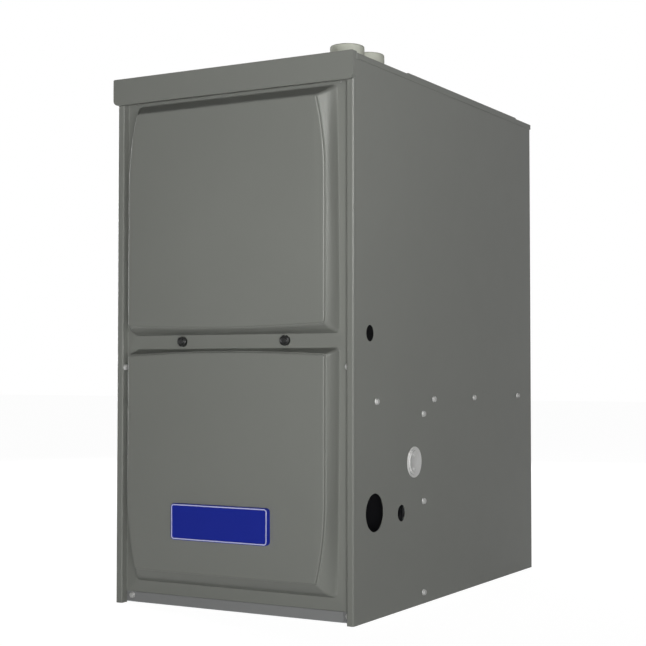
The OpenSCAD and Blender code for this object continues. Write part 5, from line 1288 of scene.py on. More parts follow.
class FitControls(bpy.types.Operator):
    """Fit the control board, the transformer, the junction box and the door switch"""

    bl_idname = "furnace.fit_controls"
    bl_label = "Fit the controls"

    def execute(self, context):
        low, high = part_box("control_board")
        x0, x1, z0, z1 = low.x / MM, high.x / MM, low.z / MM, high.z / MM
        wide, tall = x1 - x0, z1 - z0
        back = (high.y - FRONT) / MM
        f = back - 8.4
        node = "control_board"
        made("board_laminate", node, "board",
             lambda work: soft_slab(work, (x0, x1), (f, f + 1.6), (z0, z1), 0.2, 1), replaced=True)

        def posts(work):
            for u in (0.06, 0.94):
                for v in (0.06, 0.94):
                    spot = (x0 + u * wide, f - 3.0, z0 + v * tall)
                    rod(work, at(*spot), (0, 1, 0), 2.2, 2.4, 0.8, 20)
                    rod(work, at(spot[0], f + 1.6, spot[2]), (0, 1, 0), 3.0, back - f - 1.6, 0.3, 20)

        made("board_posts", node, "white", posts)
        relay_x = [x0 + wide * 0.12 + 24 * i for i in range(4)]

        def relays(work):
            for x in relay_x:
                soft_slab(work, (x, x + 16), (f - 16, f), (z0 + tall * 0.62, z0 + tall * 0.62 + 26), 0.9, 3)
                slab(work, (x + 3, x + 13), (f - 16.25, f - 15.9),
                     (z0 + tall * 0.62 + 2, z0 + tall * 0.62 + 3))

        made("board_relays", node, "relay", relays)

        def sockets(work):
            for i in range(5):
                x, z = x0 + wide * 0.15 + 18 * i, z0 + tall * 0.08
                soft_slab(work, (x, x + 10), (f - 11, f), (z, z + 9), 0.4)
                for dx in (2.2, 5.0, 7.8):
                    slab(work, (x + dx - 0.9, x + dx + 0.9), (f - 11.4, f - 10.9), (z + 2, z + 7))
            soft_slab(work, (x1 - 20, x1 - 8), (f - 9, f), (z0 + tall * 0.16, z0 + tall * 0.16 + 34), 0.5)

        made("board_sockets", node, "white", sockets)

        def chips(work):
            soft_slab(work, (x0 + wide * 0.2, x0 + wide * 0.5), (f - 4, f - 0.6),
                      (z0 + tall * 0.34, z0 + tall * 0.48), 0.4)
            soft_slab(work, (x0 + wide * 0.56, x0 + wide * 0.62), (f - 3, f - 0.4),
                      (z0 + tall * 0.34, z0 + tall * 0.42), 0.3)
            for i in range(6):
                rod(work, at(x0 + wide * 0.2 + 7 * i, f - 1.5, z0 + tall * 0.25),
                    (1, 0, 0), 1.0, 4.2, 0.4, 12)

        made("board_chips", node, "dark", chips)
        row_of("chip_legs", node, "zinc",
               lambda work: [slab(work, (x0 + wide * 0.2 + 2, x0 + wide * 0.2 + 2.8), (f - 2.4, f),
                                  (z0 + tall * e - 0.9, z0 + tall * e + 0.9)) for e in (0.335, 0.485)],
               15, (2.5, 0, 0))
        row_of("board_terminals", node, "zinc",
               lambda work: slab(work, (x0 + wide * 0.10, x0 + wide * 0.10 + 4.8), (f - 9.5, f),
                                 (z1 - 12.0, z1 - 11.2)), 13, (8.6, 0, 0))
        row_of("board_solder", node, "zinc",
               lambda work: rod(work, at(x0 + 12, f - 0.9, z0 + tall * 0.56), (0, 1, 0), 0.9, 0.9, 0.4, 10),
               22, (5.2, 0, 0))
        cap = at(x0 + wide * 0.78, f, z0 + tall * 0.4)
        made("board_capacitor", node, "sleeve", lambda work: lathed(
            work, [(0, 0), (6.5, 0), (6.5, 1.6), (6.1, 2.2), (6.5, 2.8), (6.5, 13.0), (5.9, 13.7),
                   (5.0, 13.7),
                   (5.0, 13.4), (0, 13.4)], cap, (0, -1, 0), 36))
        made("capacitor_top", node, "cast", lambda work: lathed(
            work, [(0, 13.3), (4.9, 13.3), (4.9, 13.65), (0, 13.65)], cap, (0, -1, 0), 36))
        made("board_fuse", node, "wire_violet", lambda work: soft_slab(
            work, (x0 + wide * 0.66, x0 + wide * 0.66 + 12), (f - 12, f),
            (z0 + tall * 0.52, z0 + tall * 0.52 + 5), 0.6))

        self.transformer()
        self.junction()
        self.door_switch()
        return {"FINISHED"}

    def transformer(self):
        low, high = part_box("transformer")
        x0, x1, z0, z1 = low.x / MM, high.x / MM, low.z / MM, high.z / MM
        front, back = (low.y - FRONT) / MM, (high.y - FRONT) / MM
        node = "transformer"

        def core(work):
            leaf = back - 33.8
            while leaf < back - 1.6:
                slab(work, (x0, x1), (leaf, leaf + 1.0), (z0 + 10, z1 - 10))
                leaf += 1.28
            slab(work, (x0 + 0.5, x1 - 0.5), (back - 33.5, back - 1.7), (z0 + 10.5, z1 - 10.5))

        made("transformer_core", node, "lamination", core, replaced=True)
        made("transformer_winding", node, "tape", lambda work: soft_slab(
            work, (x0 + 9.5, x1 - 9.5), (front + 1.2, back - 5), (z0 + 19, z1 - 19), 3.4, 4))

        def bobbin(work):
            for z in (z0 + 16.4, z1 - 18.4):
                soft_slab(work, (x0 + 8, x1 - 8), (front, back - 34), (z, z + 2.0), 0.4)
            for i in range(4):
                plank(work, at(x0 + 14 + 7 * i, front + 3, z1 - 16.6), (0, 0, 1), (1, 0, 0), 6.5, 3.2, 0.7)

        made("transformer_bobbin", node, "dark", bobbin)
        made("transformer_strap", node, "zinc", lambda work: [
            soft_slab(work, (x0 + 4, x1 - 4), (back - 1.5, back), (z0, z1), 0.3, 1),
            *[slab(work, (x - 0.6, x + 0.6), (back - 34.2, back - 1.0), (z0 + 9.4, z1 - 9.4))
              for x in (x0, x1)]])
        heads("transformer_screws", node,
              [((x0 + x1) / 2, back - 1.5, z) for z in (z0 + 5, z1 - 5)], (0, -1, 0),
              flats=6.4)

    def junction(self):
        low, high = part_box("junction_box")
        x0, x1, z0, z1 = low.x / MM, high.x / MM, low.z / MM, high.z / MM
        front = (low.y - FRONT) / MM
        node = "junction_box"
        cx, cz = (x0 + x1) / 2, (z0 + z1) / 2
        dressed(node, finish("galvanised"), 0.5)
        made("junction_cover", node, "galvanised", lambda work: soft_slab(
            work, (x0 - 0.3, x1 + 0.8), (front - 1.2, front - 0.1), (z0 - 0.8, z1 + 0.8), 0.4))
        heads("junction_screws", node, [(cx, front - 1.2, z0 + 6), (cx, front - 1.2, z1 - 6)],
              (0, -1, 0), flats=6.4)
        made("junction_knockouts", node, "galvanised", lambda work: [
            lathed(work, [(0, -0.2), (r, -0.2), (r, 0.35), (r - 0.5, 0.5), (r - 1.0, 0.3),
                          (r - 1.4, 0.1), (0, 0.1)],
                   at(x1, 128, cz), (1, 0, 0), 36) for r in (14.0, 10.5)])

    def door_switch(self):
        node = "door_switch"
        dressed(node, finish("white"), 0.6)
        low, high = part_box(node)
        x = (low.x + high.x) / 2 / MM
        back = (high.y - FRONT) / MM
        made("door_switch_tabs", node, "zinc", lambda work: [
            plank(work, at(x + s * 5, back, 300 + k * 14), (0, 1, 0), (0, 0, 1), 7.5, 6.3, 0.8)
            for s in (-1, 1) for k in (-1, 1)])
        made("door_switch_collar", node, "black", lambda work: lathed(
            work, [(3.3, 0), (7.0, 0), (7.0, 1.6), (6.4, 2.2), (3.9, 2.2), (3.3, 1.6), (3.3, 0)],
            at(x, 18, (low.z + high.z) / 2 / MM), (0, -1, 0), 36))


# ---------------------------------------------------------------- motors and fans


class BuildFans(bpy.types.Operator):
    """Build the blower's wheel and motor, its capacitor, and the inducer's wheel and motor"""

    bl_idname = "furnace.build_fans"
    bl_label = "Build the fans"

    def execute(self, context):
        self.blower_wheel()
        self.blower_motor()
        self.capacitor()
        self.inducer_wheel()
        self.inducer_motor()
        return {"FINISHED"}

    def blower_wheel(self):
        low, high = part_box("blower_wheel")
        middle = (low + high) / 2
        half, r_out = (high.x - low.x) / 2 / MM, (high.z - low.z) / 2 / MM
        r_in = r_out - 22

        def blade(work):
            steps, thick = 6, 0.9
            rows = []
            for i in range(steps + 1):
                s = i / steps
                r = r_in + (r_out - 1.2 - r_in) * s
                a = math.radians(12.0 * s * s)
                lean = a + math.radians(24.0 * s)
                out = Vector((0, math.cos(a), math.sin(a))) * r
                skin = Vector((0, -math.sin(lean), math.cos(lean))) * thick / 2
                rows.append([work.verts.new((out + skin * k + Vector((x, 0, 0))) * MM)
                             for k, x in ((1, -half + 1), (1, half - 1), (-1, half - 1), (-1, -half + 1))])
            for low_row, high_row in zip(rows, rows[1:]):
                join_rings(work, low_row, high_row)
            work.faces.new(list(reversed(rows[0])))
            work.faces.new(rows[-1])

        ring_of("blower_blades", "blower_wheel", "wheel", blade, sizes().blades, (1, 0, 0), middle,
                replaced=True)

        def rims(work):
            for x, way in ((-half, 1), (half, -1)):
                lathed(work, [(r_out - 5.0, 0), (r_out - 1.6, 0), *arc((r_out - 1.5, 1.5), 1.5, -90, 0, 4),
                              (r_out, 6), (r_out - 0.9, 6), (r_out - 0.9, 1.9), (r_out - 1.9, 0.9),
                              (r_out - 5.0, 0.9), (r_out - 5.0, 0)],
                       middle + Vector((x * MM, 0, 0)), (way, 0, 0), 96)
            lathed(work, [(r_out - 4, -3), (r_out - 0.2, -3), (r_out - 0.2, 3), (r_out - 4, 3),
                          (r_out - 4, -3)],
                   middle + Vector((-14 * MM, 0, 0)), (1, 0, 0), 96)

        made("blower_rims", "blower_wheel", "wheel", rims)

        def hub(work):
            origin = Vector((0, middle.y, middle.z))
            disc = (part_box("blower_hub")[1].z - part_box("blower_hub")[0].z) / 2 / MM
            bore = 6.6
            lathed(work, [
                (bore, -36), (17, -36), (18, -35), (18, -17.0), (19.5, -15.5), (44, -15.5),
                (48, -14.9), (52, -15.5),
                (disc - 10, -15.5), (disc - 7, -15.0), (disc, -15.0), (disc, -14.0),
                (disc - 7, -14.0), (52, -14.2),
                (20, -14.0), (18, -14.0), (bore, -14.0), (bore, -36)], origin, (1, 0, 0), 96)

        made("blower_disc", "blower_hub", "wheel", hub, replaced=True)
        made("blower_set_screw", "blower_hub", "zinc", lambda work: rod(
            work, Vector((-26 * MM, middle.y, middle.z + 16.5 * MM)), (0, 0, 1), 3.4, 8.5, 0.4, 6))

    def blower_motor(self):
        low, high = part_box("blower_motor")
        middle = (low + high) / 2
        origin = Vector((0, middle.y, middle.z))
        x0, x1 = low.x / MM, high.x / MM
        node = "blower_motor"

        def shell(work):
            lathed(work, [
                (0, x0 + 0.4), (7.4, x0 + 0.4), (7.6, x0), (18.5, x0), (20, x0 + 1.4), (20, x0 + 6),
                (23, x0 + 7.4), (54, x0 + 8.4), *arc((58, x0 + 15.4), 7, -90, 0, 6), (65, x0 + 16.0),
                (65.4, x0 + 16.6), (69, x0 + 16.6), (69, x1 - 18), (65.4, x1 - 17.4), (65, x1 - 17),
                *arc((58, x1 - 12), 7, 0, 90, 6), (50, x1 - 5), (22, x1 - 5), (20, x1 - 4.4), (20, x1 - 1.2),
                (18.8, x1), (0, x1)], origin, (1, 0, 0), 96)
            work.faces.ensure_lookup_table()
            for group in range(12):
                slot = [f for f in work.faces if self.in_slot(f, origin, group, x1 - 5)]
                if slot:
                    bmesh.ops.inset_region(
                        work, faces=slot, thickness=0.8 * MM, depth=-3.5 * MM, use_even_offset=True)

        made("motor_shell", node, "motor", shell, replaced=True)
        ring_of("motor_bolts", node, "zinc", lambda work: [
            rod(work, Vector((x0 + 8, 61, 0)) * MM, (-1, 0, 0), 3.4, 4.2, 0.5, 6),
            rod(work, Vector((x1 - 6, 61, 0)) * MM, (1, 0, 0), 3.4, 4.0, 0.5, 6)], 4, (1, 0, 0),
            Vector((0, middle.y, middle.z)))
        made("motor_laminations", node, "lamination", lambda work: [
            lathed(work, [(67.5, x), (69.4, x), (69.4, x + 0.9), (67.5, x + 0.9), (67.5, x)],
                   origin, (1, 0, 0), 96)
            for x in (x0 + 60 + 1.35 * k for k in range(22))])
        d, z = 475, 166
        lead = route_of([(x1 - 30, d - 62, z + 34), (x1 - 22, d - 84, z + 60), (x1 - 40, d - 118, z + 84),
                         (x1 - 50, d - 150, z + 96)])
        made("motor_lead", node, "hose", lambda work: strand(work, framed(lead), 3.8, sides=16))

    def in_slot(self, face, origin, group, plane):
        """Whether a face of the end bell lies in one of its twelve vents."""
        off = face.calc_center_median() - origin
        if abs(off.x / MM - plane) > 0.3 or not 24 < math.hypot(off.y, off.z) / MM < 48:
            return False
        turn = math.degrees(math.atan2(off.z, off.y)) % 360
        return abs((turn - 30 * group + 180) % 360 - 180) < 9.0

    def capacitor(self):
        low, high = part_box("run_capacitor")
        x, d = low.x / MM + 17, (low.y + high.y) / 2
        foot, top = low.z / MM, high.z / MM - 8
        origin = Vector((x * MM, d, 0))
        node = "run_capacitor"
        made("capacitor_can", node, "cast", lambda work: lathed(work, [
            (0, foot), (14.5, foot), *arc((14.6, foot + 2.4), 2.4, -90, 0, 5), (17, top - 5), (16.3, top - 4),
            (17, top - 3), (17, top - 0.6), (16.4, top), (15.4, top), (15.2, top - 1.2), (0, top - 1.2)],
            origin, (0, 0, 1), 48), replaced=True)
        made("capacitor_lid", node, "black", lambda work: lathed(work, [
            (0, top - 1.3), (15.0, top - 1.3), (15.0, top - 0.7), (0, top - 0.7)], origin, (0, 0, 1), 48))
        made("capacitor_tabs", node, "zinc", lambda work: [
            plank(work, origin + Vector((s * 6 * MM, k * 2.2 * MM, (top - 1) * MM)),
                  (0, 0, 1), (1, 0, 0), 8.6, 6.3, 0.8)
            for s in (-1, 1) for k in (-1, 1)])

        def strap(work):
            z = foot + 30
            lathed(work, [(17.1, z), (17.9, z), (17.9, z + 12), (17.1, z + 12), (17.1, z)],
                   origin, (0, 0, 1), 48)
            edge, mid = high.x / MM, (d - FRONT) / MM
            for s in (-1, 1):
                slab(work, (x - 1, edge), sorted((mid + s * 17.2, mid + s * 18.0)), (z, z + 12))
                slab(work, (edge - 1.0, edge), sorted((mid + s * 17.2, mid + s * 20)), (z, z + 12))

        made("capacitor_strap", node, "galvanised", strap)

    def inducer_wheel(self):
        low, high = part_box("inducer_wheel")
        middle = (low + high) / 2
        r_out = (high.z - low.z) / 2 / MM
        d0, d1 = (low.y - FRONT) / MM, (high.y - FRONT) / MM
        deep = d1 - d0

        def blade(work):
            rows = []
            for i in range(5):
                s = i / 4
                r = r_out - 24 + 22.6 * s
                a = math.radians(16.0 * s * s)
                skin = Vector((-math.sin(a + 0.4 * s), 0, math.cos(a + 0.4 * s))) * 0.5
                out = Vector((math.cos(a), 0, math.sin(a))) * r
                rows.append([work.verts.new((out + skin * k + Vector((0, y, 0))) * MM)
                             for k, y in ((1, -deep / 2 + 1), (1, deep / 2),
                                          (-1, deep / 2), (-1, -deep / 2 + 1))])
            for low_row, high_row in zip(rows, rows[1:]):
                join_rings(work, low_row, high_row)
            work.faces.new(list(reversed(rows[0])))
            work.faces.new(rows[-1])

        ring_of("inducer_blades", "inducer_wheel", "coil", blade, 16, (0, 1, 0), middle, replaced=True)
        made("inducer_disc", "inducer_wheel", "coil", lambda work: lathed(work, [
            (4.1, d0), (r_out - 0.4, d0), (r_out, d0 + 0.4), (r_out, d0 + 1.6), (r_out - 0.4, d0 + 2),
            (12, d0 + 2),
            (11, d0 + 3), (11, d1 - 4.6), (10.4, d1 - 4), (4.1, d1 - 4), (4.1, d0)],
            Vector((middle.x, FRONT, middle.z)), (0, 1, 0), 64))

    def inducer_motor(self):
        low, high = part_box("inducer_motor")
        middle = (low + high) / 2
        d0, d1 = (low.y - FRONT) / MM, (high.y - FRONT) / MM
        origin = Vector((middle.x, FRONT, middle.z))
        node = "inducer_motor"

        def shell(work):
            lathed(work, [
                (0, d0), (12.6, d0), (15, d0 + 2.2), (15, d0 + 7.4), (16, d0 + 8), (31, d0 + 8.4),
                *arc((31.5, d0 + 13.9), 5.5, -90, 0, 5), (37, d0 + 21.4), (41, d0 + 21.8), (42, d0 + 23),
                (42, d0 + 24.0), (40.5, d0 + 24.2), (40.5, d0 + 47.6), (42, d0 + 47.8), (42, d0 + 49),
                (41, d0 + 50.2), (37, d0 + 50.6), (37, d1), (0, d1)], origin, (0, 1, 0), 80)
            work.faces.ensure_lookup_table()
            for group in range(10):
                slot = []
                for face in work.faces:
                    off = face.calc_center_median() - origin
                    turn = math.degrees(math.atan2(off.z, off.x)) % 360
                    if (abs(off.y / MM - d0 - 8.2) < 0.4 and math.hypot(off.x, off.z) / MM > 20
                            and abs((turn - 36 * group + 180) % 360 - 180) < 9.5):
                        slot.append(face)
                if slot:
                    bmesh.ops.inset_region(
                        work, faces=slot, thickness=0.7 * MM, depth=-3.0 * MM, use_even_offset=True)

        made("inducer_motor_shell", node, "motor", shell, replaced=True)
        made("inducer_laminations", node, "lamination", lambda work: [
            lathed(work, [(39.0, d), (41.6, d), (41.6, d + 0.85), (39.0, d + 0.85), (39.0, d)],
                   origin, (0, 1, 0), 80)
            for d in (d0 + 24.6 + 1.28 * k for k in range(18))])
        ring_of("inducer_bolts", node, "zinc", lambda work: rod(
            work, Vector((34.0, d0 + 12.0, 0)) * MM, (0, -1, 0), 2.8, 3.2, 0.4, 6), 4, (0, 1, 0), origin)
        ring_of("volute_screws", "inducer_volute", "zinc", lambda work: [
            rod(work, Vector((50.0, d1 + 6.2, 0)) * MM, (0, -1, 0), 5.2, 1.2, 0.3, 20),
            rod(work, Vector((50.0, d1 + 5.2, 0)) * MM, (0, -1, 0), 4.0, 3.2, 0.5, 6)], 5, (0, 1, 0), origin)
        made("volute_ribs", "inducer_volute", "black", lambda work: [
            plank(work, origin + (Vector((math.cos(a), 0, math.sin(a))) * 38 + Vector((0, d1 + 5.4, 0))) * MM,
                  (math.cos(a), 0, math.sin(a)), (0, 1, 0), 16, 1.6, 2.0)
            for a in (math.radians(18 + 36 * k) for k in range(10))])


# ---------------------------------------------------------------- gas train and switches


class FitGasTrain(bpy.types.Operator):
    """Fit the valve's cap, plugs and terminals, the igniter, the flame sensor and the switches"""

    bl_idname = "furnace.fit_gas_train"
    bl_label = "Fit the gas train"

    def execute(self, context):
        self.valve()
        self.igniter()
        self.flame_sensor()
        self.switches()
        return {"FINISHED"}

    def valve(self):
        node = "gas_valve"
        dressed(node, finish("cast"), 1.1)
        low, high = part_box(node)
        x0, x1, z0, z1 = low.x / MM, high.x / MM, low.z / MM, high.z / MM
        front = (low.y - FRONT) / MM
        cx = (x0 + x1) / 2
        made("regulator_cap", node, "zinc", lambda work: [
            lathed(work, [(0, 0), (11, 0), (11, 1.0), (9.6, 1.2), (9.6, 4.4), (8.9, 5.2), (3, 5.2),
                          (3, 4.4), (0, 4.4)],
                   at(cx + 18, front, z0 + 36), (0, -1, 0), 48)])
        made("valve_cover", node, "dark", lambda work: [
            soft_slab(work, (x0 + 12, x0 + 40), (front - 3.4, front + 0.5), (z0 + 38, z0 + 56), 1.2, 3),
            soft_slab(work, (x0 + 2, x0 + 9), (front + 16, front + 44), (z0 + 30, z0 + 54), 1.0, 2)])
        heads("valve_screws", node, [(x, front, z) for x in (x0 + 12, x1 - 12) for z in (z0 + 34, z1 - 21)],
              (0, -1, 0), flats=5.6, head=2.6)
        made("valve_plugs", node, "brass", lambda work: [
            rod(work, at(x1 - 0.4, 50, z0 + 34), (1, 0, 0), 5.6, 4.6, 0.6, 6),
            rod(work, at(cx + 26, 50, z1 - 0.4), (0, 0, 1), 4.4, 2.6, 0.5, 6),
            rod(work, at(cx - 26, 50, z1 - 0.4), (0, 0, 1), 4.4, 2.6, 0.5, 6)])
        made("valve_tabs", node, "zinc", lambda work: [
            plank(work, at(x0 + 18 + 8 * k, front - 3.2, z0 + 47), (0, -1, 0), (0, 0, 1), 6.5, 6.3, 0.8)
            for k in range(3)])
        low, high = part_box("gas_manifold")
        pipe_depth, pipe_height = 50 * MM, 0.69
        made("manifold_plugs", "gas_manifold", "iron_pipe", lambda work: [
            rod(work, Vector((x, FRONT + pipe_depth, pipe_height)), (s, 0, 0), 8.4, 5.0, 0.8, 6)
            for x, s in ((low.x + 2 * MM, -1), (high.x - 2 * MM, 1))])

    def igniter(self):
        low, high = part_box("igniter")
        x, z = (low.x + high.x) / 2 / MM, (low.z + high.z) / 2 / MM
        front, back = (low.y - FRONT) / MM, (high.y - FRONT) / MM
        made("igniter_block", "igniter", "ceramic", lambda work: [
            soft_slab(work, (x - 9, x + 9), (front, front + 8), (z - 12, z + 12), 1.4, 3),
            lathed(work, [(0, 0), (3.6, 0), (3.6, 20), (3.0, 22), (3.0, 46), (2.4, 47), (0, 47)],
                   at(x, front + 7, z), (0, 1, 0), 28)], replaced=True)
        made("igniter_element", "igniter", "element", lambda work: rod(
            work, at(x, front + 53, z), (0, 1, 0), 1.6, back - front - 53, 0.8, 20))
        heads("igniter_screw", "igniter", [(x, front, z + 8.5)], (0, -1, 0), flats=5.6, head=2.6)

    def flame_sensor(self):
        low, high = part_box("flame_sensor")
        x, z = (low.x + high.x) / 2 / MM, (low.z + high.z) / 2 / MM
        front, back = (low.y - FRONT) / MM, (high.y - FRONT) / MM
        plate = front + 19
        made("sensor_plate", "flame_sensor", "zinc", lambda work: [
            soft_slab(work, (x - 7, x + 7), (plate, plate + 1.6), (z - 12, z + 12), 0.5),
            rod(work, at(x, front, z), (0, 1, 0), 1.5, 10, 0.4, 16),
            rod(work, at(x, front + 54, z), (0, 1, 0), 1.2, back - front - 54, 0.5, 16)], replaced=True)
        made("sensor_insulator", "flame_sensor", "ceramic", lambda work: lathed(
            work, [(0, 8), (2.4, 8), (3.0, 9), (3.0, 18), (4.6, 19), (4.6, 24), (3.0, 25),
                   (3.0, 55), (2.4, 56), (0, 56)],
            at(x, front, z), (0, 1, 0), 28))
        heads("sensor_screw", "flame_sensor", [(x, plate, z - 8)], (0, -1, 0), flats=5.6, head=2.6)

    def switches(self):
        low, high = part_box("pressure_switch")
        x, z = (low.x + high.x) / 2 / MM, (low.z + high.z) / 2 / MM
        back = (high.y - FRONT) / MM
        node = "pressure_switch"
        made("pressure_housing", node, "dark", lambda work: lathed(work, [
            (0, -28), (6, -28), (6, -26.6), (22, -26.4), (24, -25), (24, -21), (31, -20), (33, -19),
            (33, -15.4),
            (32.2, -15), (32.2, -13), (33, -12.6), (33, -9), (32, -8), (14, -7.4), (12, -6), (12, 0), (0, 0)],
            at(x, back, z), (0, 1, 0), 72), replaced=True)
        ring_of("pressure_clips", node, "zinc", lambda work: [
            slab_at(work, (-4.2, 4.2), (-20.4, -7.6), (32.6, 33.4))], 8, (0, 1, 0), at(x, back, z))
        made("pressure_nipple", node, "white", lambda work: lathed(work, [
            (0, -26), (4, -26), (4, -29), (2.4, -30), (2.4, -36), (2.9, -37), (1.9, -41), (0, -41)],
            at(x, back, z), (0, 1, 0), 24))
        made("pressure_tabs", node, "zinc", lambda work: [
            plank(work, at(x + s * 10, back - 25, z + 11.5), (0, -1, 0), (1, 0, 0), 11, 6.3, 0.8)
            for s in (-1, 1)])

        low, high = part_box("limit_switch")
        x, z = (low.x + high.x) / 2 / MM, (low.z + high.z) / 2 / MM
        front = (low.y - FRONT) / MM
        made("limit_body", "limit_switch", "dark", lambda work: lathed(work, [
            (0, 0), (11.6, 0), (13, 1.4), (13, 6), (12, 6.6), (12, 12), (0, 12)],
            at(x, front, z), (0, 1, 0), 48),
            replaced=True)
        made("limit_plate", "limit_switch", "zinc", lambda work: [
            soft_slab(work, (x - 18, x + 18), (front + 12, front + 13.9), (z - 14, z + 14), 0.5),
            rod(work, at(x, front + 13, z), (0, 1, 0), 5.0, 63, 2.0, 32),
            *[plank(work, at(x + s * 5, front + 0.5, z), (0, -1, 0), (0, 0, 1), 6.5, 6.3, 0.8)
              for s in (-1, 1)]])
        heads("limit_screws", "limit_switch", [(x + s * 15, front + 12, z) for s in (-1, 1)],
              (0, -1, 0), flats=5.6,
              head=2.6)

        low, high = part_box("rollout_switches")
        spots = [Vector((x, FRONT + 124 * MM, 0)) for x in (low.x + 20 * MM, high.x - 20 * MM)]
        plate = 742.0
        made("rollout_bodies", "rollout_switches", "dark", lambda work: [
            lathed(work, [(0, plate), (12, plate), (12, plate + 9), (10.8, plate + 10.2), (10.8, plate + 13),
                          (9.8, plate + 14), (3.2, plate + 14), (3.2, plate + 13), (0, plate + 13)],
                   spot, (0, 0, 1), 48) for spot in spots], replaced=True)
        made("rollout_brackets", "rollout_switches", "zinc", lambda work: [
            *[soft_slab(work, (s.x / MM - 20, s.x / MM + 20), (116, 132), (plate, plate + 1.5), 0.4)
              for s in spots],
            *[plank(work, s + Vector((k * 7 * MM, 6 * MM, (plate + 13) * MM)),
                    (0, 0, 1), (0, 1, 0), 9, 6.3, 0.8)
              for s in spots for k in (-1, 1)]])
        heads("rollout_screws", "rollout_switches",
              [(s.x / MM + k * 16.5, 124, plate + 1.5) for s in spots for k in (-1, 1)], (0, 0, 1),
              flats=5.6, head=2.6)


def slab_at(work, x, y, z):
    """Adds a box about the origin, for a carrier."""
    corners = [work.verts.new(Vector((x[i], y[j], z[k])) * MM)
               for i in (0, 1) for j in (0, 1) for k in (0, 1)]
    for face in BOX_FACES:
        work.faces.new([corners[i] for i in face])


# ---------------------------------------------------------------- blanket of the lower door


class PackLiner(bpy.types.Operator):
    """Pack the foil-faced blanket into the lower door, pillowed between its glue points"""

    bl_idname = "furnace.pack_liner"
    bl_label = "Pack the blanket"

    def execute(self, context):
        low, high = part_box("lower_door_liner")
        x0, x1, z0, z1 = low.x / MM, high.x / MM, low.z / MM, high.z / MM
        front, back = (low.y - FRONT) / MM, (high.y - FRONT) / MM
        hole_x, hole_z = (-143.0, -109.0), (279.0, 313.0)
        columns = sorted({x0, x1, *hole_x, *[x0 + (x1 - x0) * i / 44 for i in range(45)]})
        rows = sorted({z0, z1, *hole_z, *[z0 + (z1 - z0) * i / 42 for i in range(43)]})
        edge = lambda v, lo, hi: min(v - lo, hi - v)
        in_hole = lambda x, z: hole_x[0] < x < hole_x[1] and hole_z[0] < z < hole_z[1]

        def depth(x, z):
            rim = min(edge(x, x0, x1), edge(z, z0, z1))
            near = max(max(hole_x[0] - x, x - hole_x[1]), max(hole_z[0] - z, z - hole_z[1]))
            rim = max(0.0, min(rim, near))
            roll = 1 - max(0.0, 1 - rim / 9.0) ** 2
            puff = abs(math.sin((x - x0) * math.pi / 77.0) * math.sin((z - z0) * math.pi / 74.6)) ** 0.45
            return front + (back - front) * (0.42 + 0.58 * roll * (0.72 + 0.28 * puff))

        def blanket(work):
            grid = {(i, j): work.verts.new(at(x, depth(x, z), z))
                    for i, x in enumerate(columns) for j, z in enumerate(rows)}
            flat = {key: work.verts.new(at(columns[key[0]], front + 0.05, rows[key[1]])) for key in grid}
            for i in range(len(columns) - 1):
                for j in range(len(rows) - 1):
                    if in_hole((columns[i] + columns[i + 1]) / 2, (rows[j] + rows[j + 1]) / 2):
                        continue
                    ring = ((i, j), (i + 1, j), (i + 1, j + 1), (i, j + 1))
                    work.faces.new([grid[k] for k in ring])
                    work.faces.new([flat[k] for k in reversed(ring)])
            for edge_now in [e for e in work.edges if e.is_boundary and e.verts[0] in set(grid.values())]:
                a, b = edge_now.verts
                ka, kb = (next(k for k, v in grid.items() if v == p) for p in (a, b))
                work.faces.new([a, b, flat[kb], flat[ka]])
            bmesh.ops.delete(work, geom=[v for v in work.verts if not v.link_faces], context="VERTS")

        made("door_blanket", "lower_door_liner", "foil", blanket, replaced=True, angle=60.0)
        return {"FINISHED"}


# ---------------------------------------------------------------- cabinet and inside


class PaintCabinet(bpy.types.Operator):
    """Round the cut edges of the cabinet's sheets and bake on their enamel"""

    bl_idname = "furnace.paint_cabinet"
    bl_label = "Paint the cabinet"

    def execute(self, context):
        edge = sizes().edge_radius
        for node in ("casing", "top_panel", "cross_rail"):
            dressed(node, finish("paint"), edge)
        dressed("header_trim", finish("paint"), 0.7)
        dressed("base_rail", finish("rail"), edge)
        return {"FINISHED"}


SHEET_EDGE = 0.3
INSIDE = {
    "galvanised": ("bottom_panel", "blower_deck", "vestibule_panel", "side_braces", "burner_box",
                   "control_panel",
                   "door_striker"),
    "aluminised": ("rear_header_box",),
    "zinc": ("blower_shaft", "inducer_shaft", "motor_bracket"),
    "black": ("condensate_collector", "inducer_volute", "door_switch_plunger"),
    "trap": ("condensate_trap",),
    "brass": ("gas_orifices",),
    "iron_pipe": ("gas_manifold",),
    "red": ("gas_valve_switch", "left_reset_button", "right_reset_button"),
}
TURNED = {
    "galvanised": ("blower_wrap", "blower_left_side", "blower_right_side"),
    "aluminised": ("primary_exchanger", "burners"),
    "tube": ("coil_tubes",),
    "coil": ("coil_fins",),
    "pipe": ("exhaust_pipe", "intake_pipe"),
}


